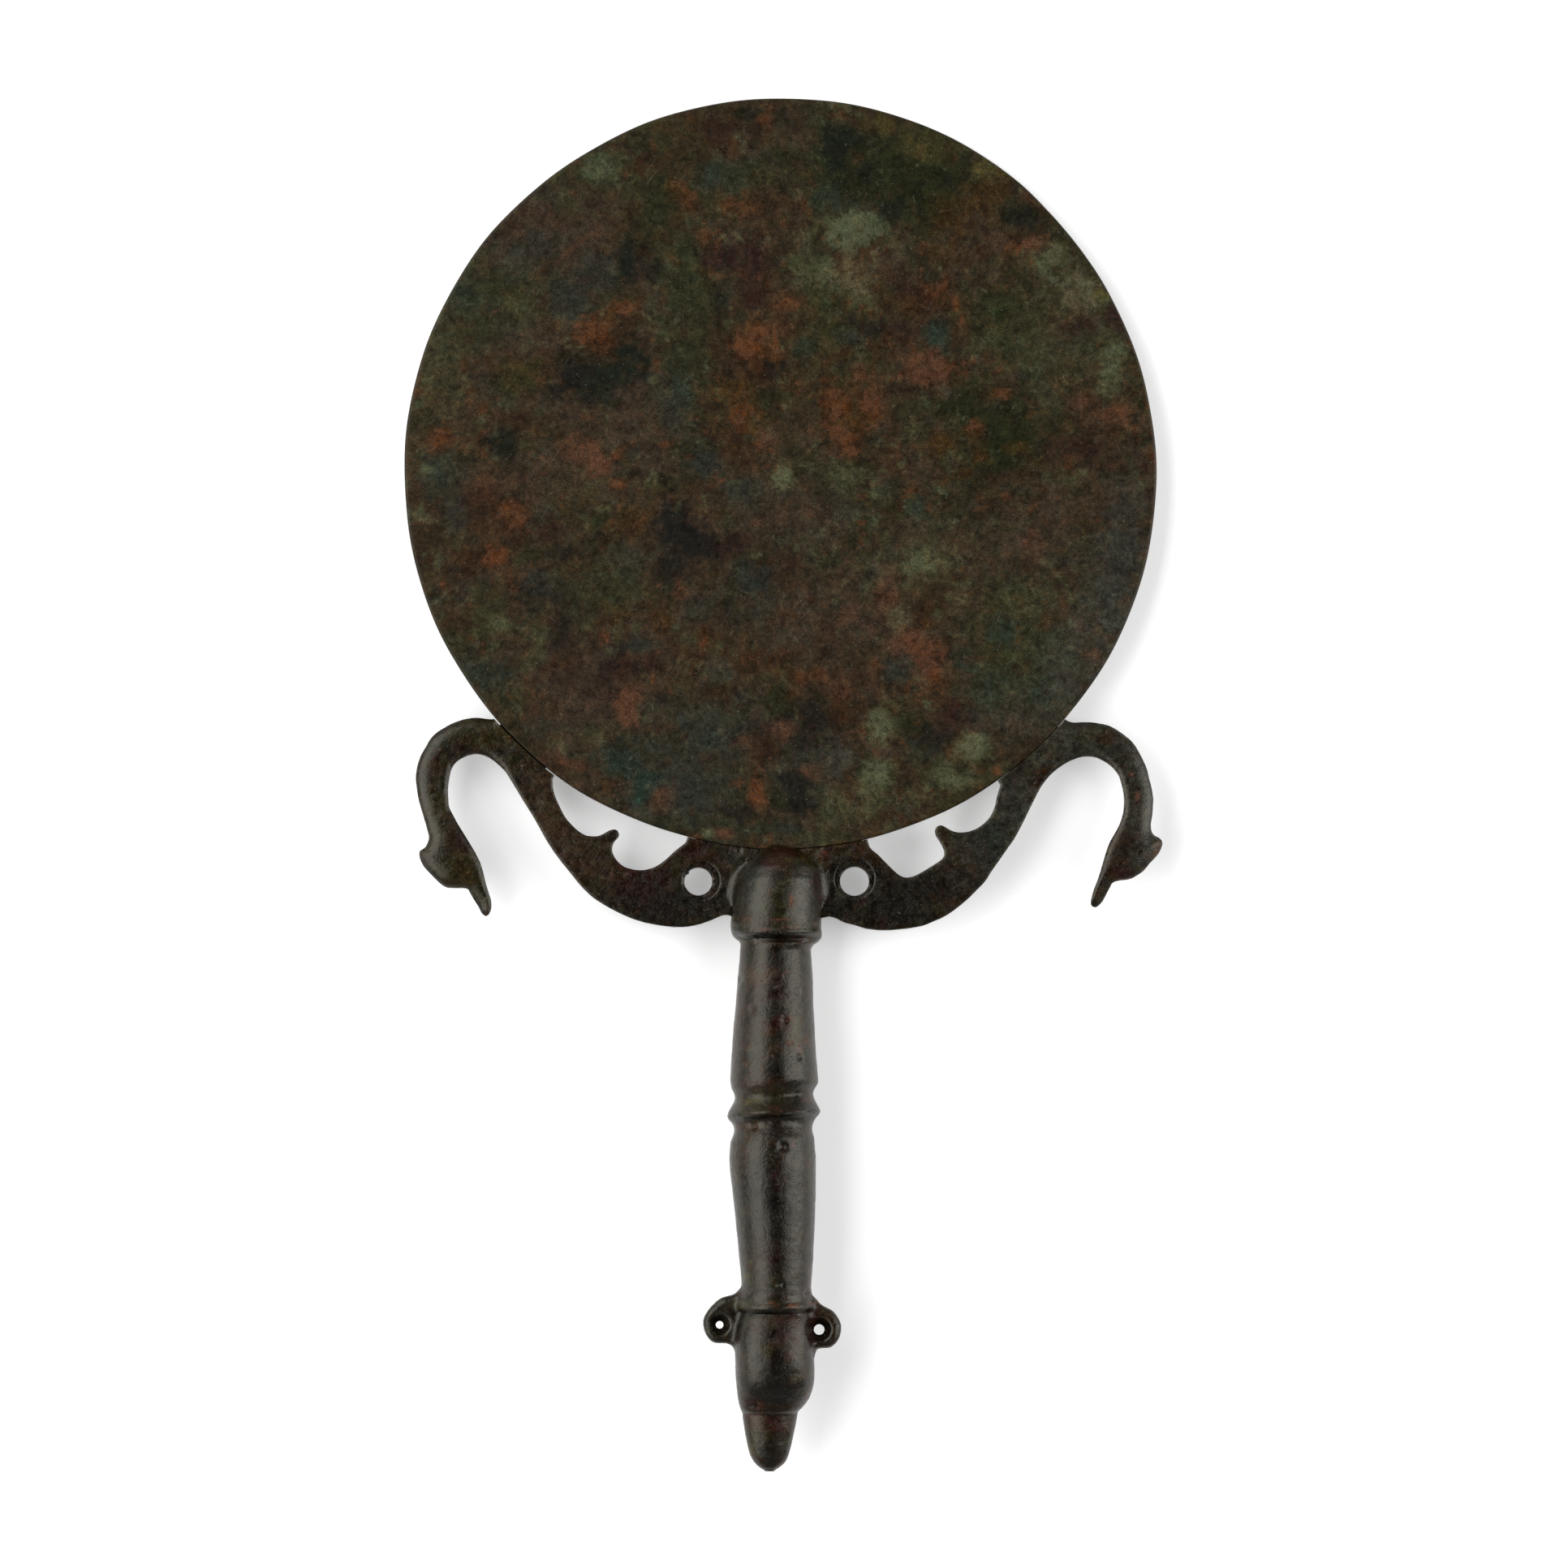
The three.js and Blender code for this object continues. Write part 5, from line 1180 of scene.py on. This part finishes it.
def disc_object(name, radius, z, material):
    a = np.linspace(0, 2 * math.pi, 96, endpoint=False)
    me = bpy.data.meshes.new(name)
    me.from_pydata([(radius * math.cos(t), radius * math.sin(t), z) for t in a], [], [list(range(96))])
    me.materials.append(material)
    o = bpy.data.objects.new(name, me)
    scene.collection.objects.link(o)
    return o


disc_object("floor", 12.0, -0.00003, plain("floor_white", (0.86, 0.86, 0.86), 0.9, 0.34))
disc_object("overhead_flag", 1.6, 3.3, plain("flag_black", (0.004, 0.004, 0.004), 0.9))

world = bpy.data.worlds.new("studio")
scene.world = world
world.use_nodes = True
world.node_tree.nodes["Background"].inputs["Color"].default_value = (1, 1, 1, 1)
world.node_tree.nodes["Background"].inputs["Strength"].default_value = 0.26


def softbox(name, azimuth, zenith, distance, width, length, radiance):
    """A rectangular light that faces the mirror. azimuth is measured from +X towards +Y."""
    light = bpy.data.lights.new(name, "AREA")
    light.shape = "RECTANGLE"
    light.size, light.size_y = width, length
    light.energy = radiance * math.pi * width * length
    o = bpy.data.objects.new(name, light)
    a, z = math.radians(azimuth), math.radians(zenith)
    d = Vector((math.sin(z) * math.cos(a), math.sin(z) * math.sin(a), math.cos(z)))
    o.location = d * distance
    up = Vector((-math.sin(a), math.cos(a), 0))
    side_axis = up.cross(d).normalized()
    m = o.matrix_world.copy()
    for r in range(3):
        m[r][0], m[r][1], m[r][2], m[r][3] = side_axis[r], up[r], d[r], o.location[r]
    o.matrix_world = m
    scene.collection.objects.link(o)
    return o


softbox("softbox_left", 170.0, 46.0, 1.7, 1.4, 2.7, 3.5)
softbox("softbox_right", 4.0, 58.0, 1.7, 1.6, 1.0, 4.2)

CAMERA_HEIGHT = 2.5
FRAME_WIDTH = 0.3123                                  # what the photograph's square frame spans
cam = bpy.data.cameras.new("camera")
cam.sensor_width = 36.0
cam.lens = 36.0 * CAMERA_HEIGHT / FRAME_WIDTH
cam.clip_start, cam.clip_end = 0.1, 40.0
camera = bpy.data.objects.new("camera", cam)
camera.location = (0.00010, -0.00006, 0.0065 + CAMERA_HEIGHT)
scene.collection.objects.link(camera)
scene.camera = camera

bpy.context.view_layer.update()
